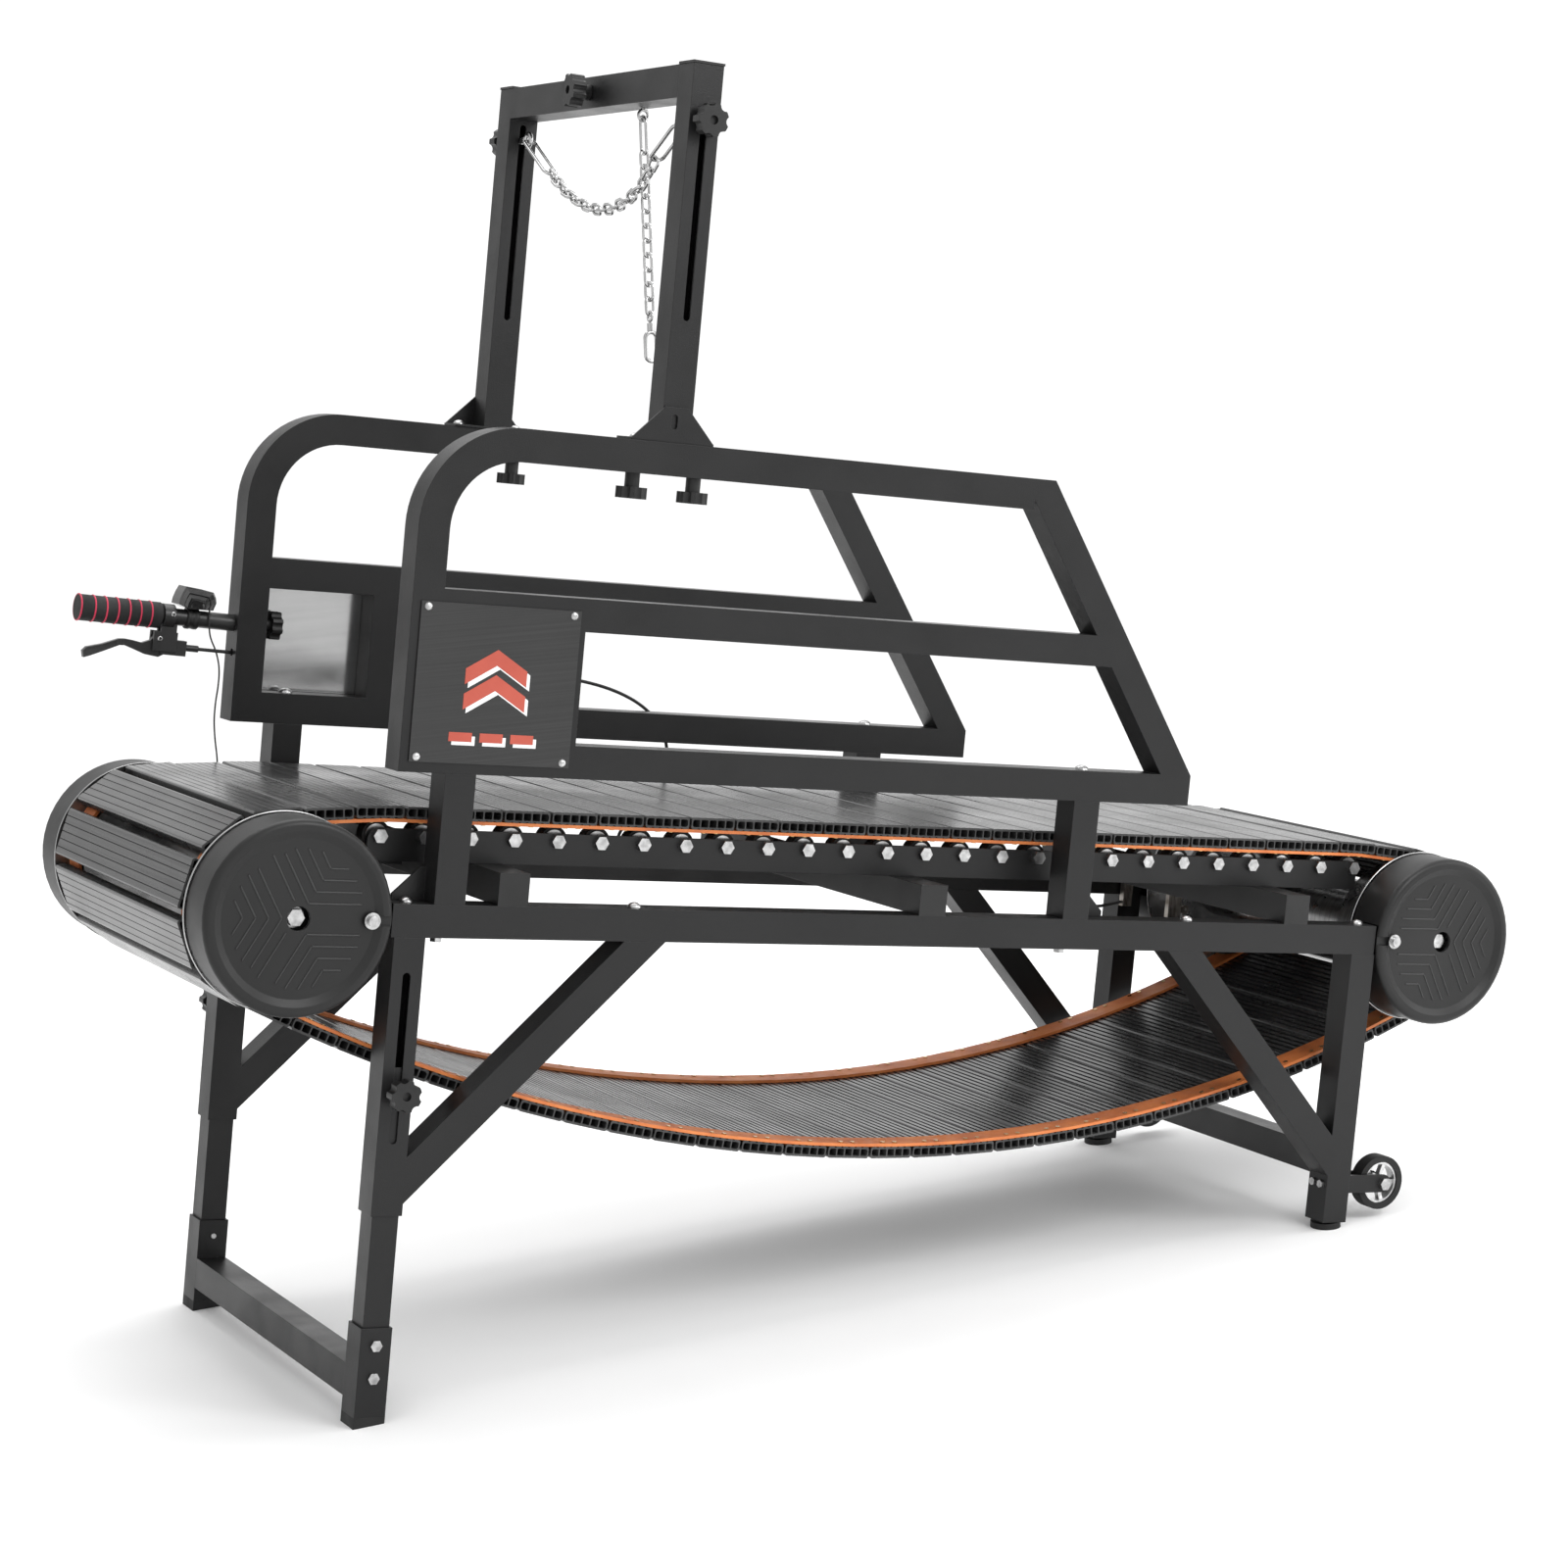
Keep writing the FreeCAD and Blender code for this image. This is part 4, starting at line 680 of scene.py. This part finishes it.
def softened(obj, width, segments=3):
    """Rounds the sharp edges of an object."""
    bevel = obj.modifiers.new("bevel", "BEVEL")
    bevel.width = width
    bevel.segments = segments
    bevel.limit_method = "ANGLE"
    bevel.angle_limit = math.radians(28)
    bevel.harden_normals = False


visor = piece("monitor_case", mesh_from(hulled(VISOR, Vector(VISOR_FOCUS), VISOR_STEPS)),
              "root", "monitor_case", gloss)
softened(visor, 0.0011)


def collar(work):
    """Strap of the monitor round the handlebar, split by shallow ribs."""
    around = 48
    rings = []
    for out, radius in STRAP_PROFILE:
        rings.append([work.verts.new(on_bar(out, radius * math.sin(step * math.tau / around),
                                            radius * math.cos(step * math.tau / around)))
                      for step in range(around)])
    for near, far in zip(rings, rings[1:] + rings[:1]):
        for i in range(around):
            work.faces.new((near[i - 1], near[i], far[i], far[i - 1])).smooth = True


strap = piece("monitor_strap", mesh_from(collar), "root", "monitor_case", black_plastic)
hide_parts("monitor")
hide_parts("monitor")


def bolt_head(centre, axis, radius, high):
    """Domed socket screw head on a surface, open towards the axis."""
    def draw(work):
        turn = axis.to_track_quat("Z", "Y").to_matrix()
        around = 24
        rings = []
        for reach, rise in HEAD_PROFILE:
            rings.append([work.verts.new(centre + turn @ Vector((
                radius * reach * math.cos(step * math.tau / around),
                radius * reach * math.sin(step * math.tau / around), high * rise)))
                for step in range(around)])
        for near, far in zip(rings, rings[1:]):
            for i in range(around):
                work.faces.new((near[i - 1], near[i], far[i], far[i - 1]))
        work.faces.new(rings[-1])
        work.faces.new(list(reversed(rings[0])))
    return draw


def lever_rim(work):
    """Raised rim round the pocket in the blade of the brake lever."""
    levels = ((RIM_OUTER, RIM_FOOT), (RIM_OUTER, RIM_CREST), (RIM_INNER, RIM_CREST),
              (RIM_INNER, RIM_FOOT))
    loops = [[work.verts.new(on_bar(out, up, across)) for out, up in outline]
             for outline, across in levels]
    for near, far in zip(loops, loops[1:] + loops[:1]):
        for i in range(len(near)):
            work.faces.new((near[i - 1], near[i], far[i], far[i - 1]))


rim = piece("lever_rim", mesh_from(lever_rim), "brake_lever", "black_plastic", lever_paint)
softened(rim, 0.0004)
HEAD_HIGH = 0.0022
for name, spot, radius in (("clamp_screw", on_bar(87.2, 3.6, -14.6), 0.0034),
                           ("pivot_screw", on_bar(100, -29.5, -9.2), 0.0036)):
    piece(name, mesh_from(bolt_head(spot, heading(0, -1, 0), radius, HEAD_HIGH)), "root",
          "zinc", zinc)
for node_name, width in (("brake_lever", 0.0012), ("lever_clamp", 0.001), ("rear_feet", 0.0018)):
    softened(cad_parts[node_name], width)


# --- studio ----------------------------------------------------------------------
FLOOR_HALF = 30
SKY_LOW_SIDE = (-0.8, 0.6, 0)
SKY_RANGE = (("From Min", 0.35), ("From Max", 0.9), ("To Min", 1.12), ("To Max", 0.75))


def floor():
    """Pale floor with a faint mottle."""
    mesh = bpy.data.meshes.new("floor")
    corners = [(-FLOOR_HALF, -FLOOR_HALF, 0), (FLOOR_HALF, -FLOOR_HALF, 0),
               (FLOOR_HALF, FLOOR_HALF, 0), (-FLOOR_HALF, FLOOR_HALF, 0)]
    mesh.from_pydata(corners, [], [(0, 1, 2, 3)])
    obj = bpy.data.objects.new("floor", mesh)
    bpy.context.scene.collection.objects.link(obj)
    look = Look("floor_paint")
    look.colour(look.noise(3, 4), [(0.3, grey(0.955)), (0.7, grey(0.965))])
    look.rough(look.noise(8, 3), 0.7, 0.85)
    mesh.materials.append(look.material)


def softbox(name, place, wide, high, power, target=(0, 0, 0.6)):
    """Rectangular area light aimed at the middle of the machine."""
    data = bpy.data.lights.new(name, "AREA")
    data.shape = "RECTANGLE"
    data.size = wide
    data.size_y = high
    data.energy = power
    obj = bpy.data.objects.new(name, data)
    obj.location = place
    obj.rotation_euler = (Vector(target) - Vector(place)).to_track_quat("-Z", "Y").to_euler()
    bpy.context.scene.collection.objects.link(obj)


def backdrop():
    """White surroundings, weaker towards the far left of the machine."""
    world = bpy.data.worlds.new("studio")
    bpy.context.scene.world = world
    world.use_nodes = True
    nodes = world.node_tree.nodes
    links = world.node_tree.links
    sky = nodes["Background"]
    sky.inputs["Color"].default_value = (1, 1, 1, 1)
    towards = nodes.new("ShaderNodeTexCoord").outputs["Generated"]
    share = nodes.new("ShaderNodeVectorMath")
    share.operation = "DOT_PRODUCT"
    share.inputs[1].default_value = SKY_LOW_SIDE
    dimmed = nodes.new("ShaderNodeMapRange")
    dimmed.interpolation_type = "SMOOTHSTEP"
    for socket, value in SKY_RANGE:
        dimmed.inputs[socket].default_value = value
    links.new(towards, share.inputs[0])
    links.new(share.outputs["Value"], dimmed.inputs["Value"])
    links.new(dimmed.outputs["Result"], sky.inputs["Strength"])


floor()
softbox("key", (1.4, -3.6, 3.2), 2.0, 2.0, 85)
softbox("top", (0.4, 0.8, 3.6), 3.5, 2.5, 70)
softbox("side", (3.2, -1.6, 1.6), 1.4, 2.2, 25)
backdrop()
bpy.context.scene.view_settings.view_transform = "Standard"
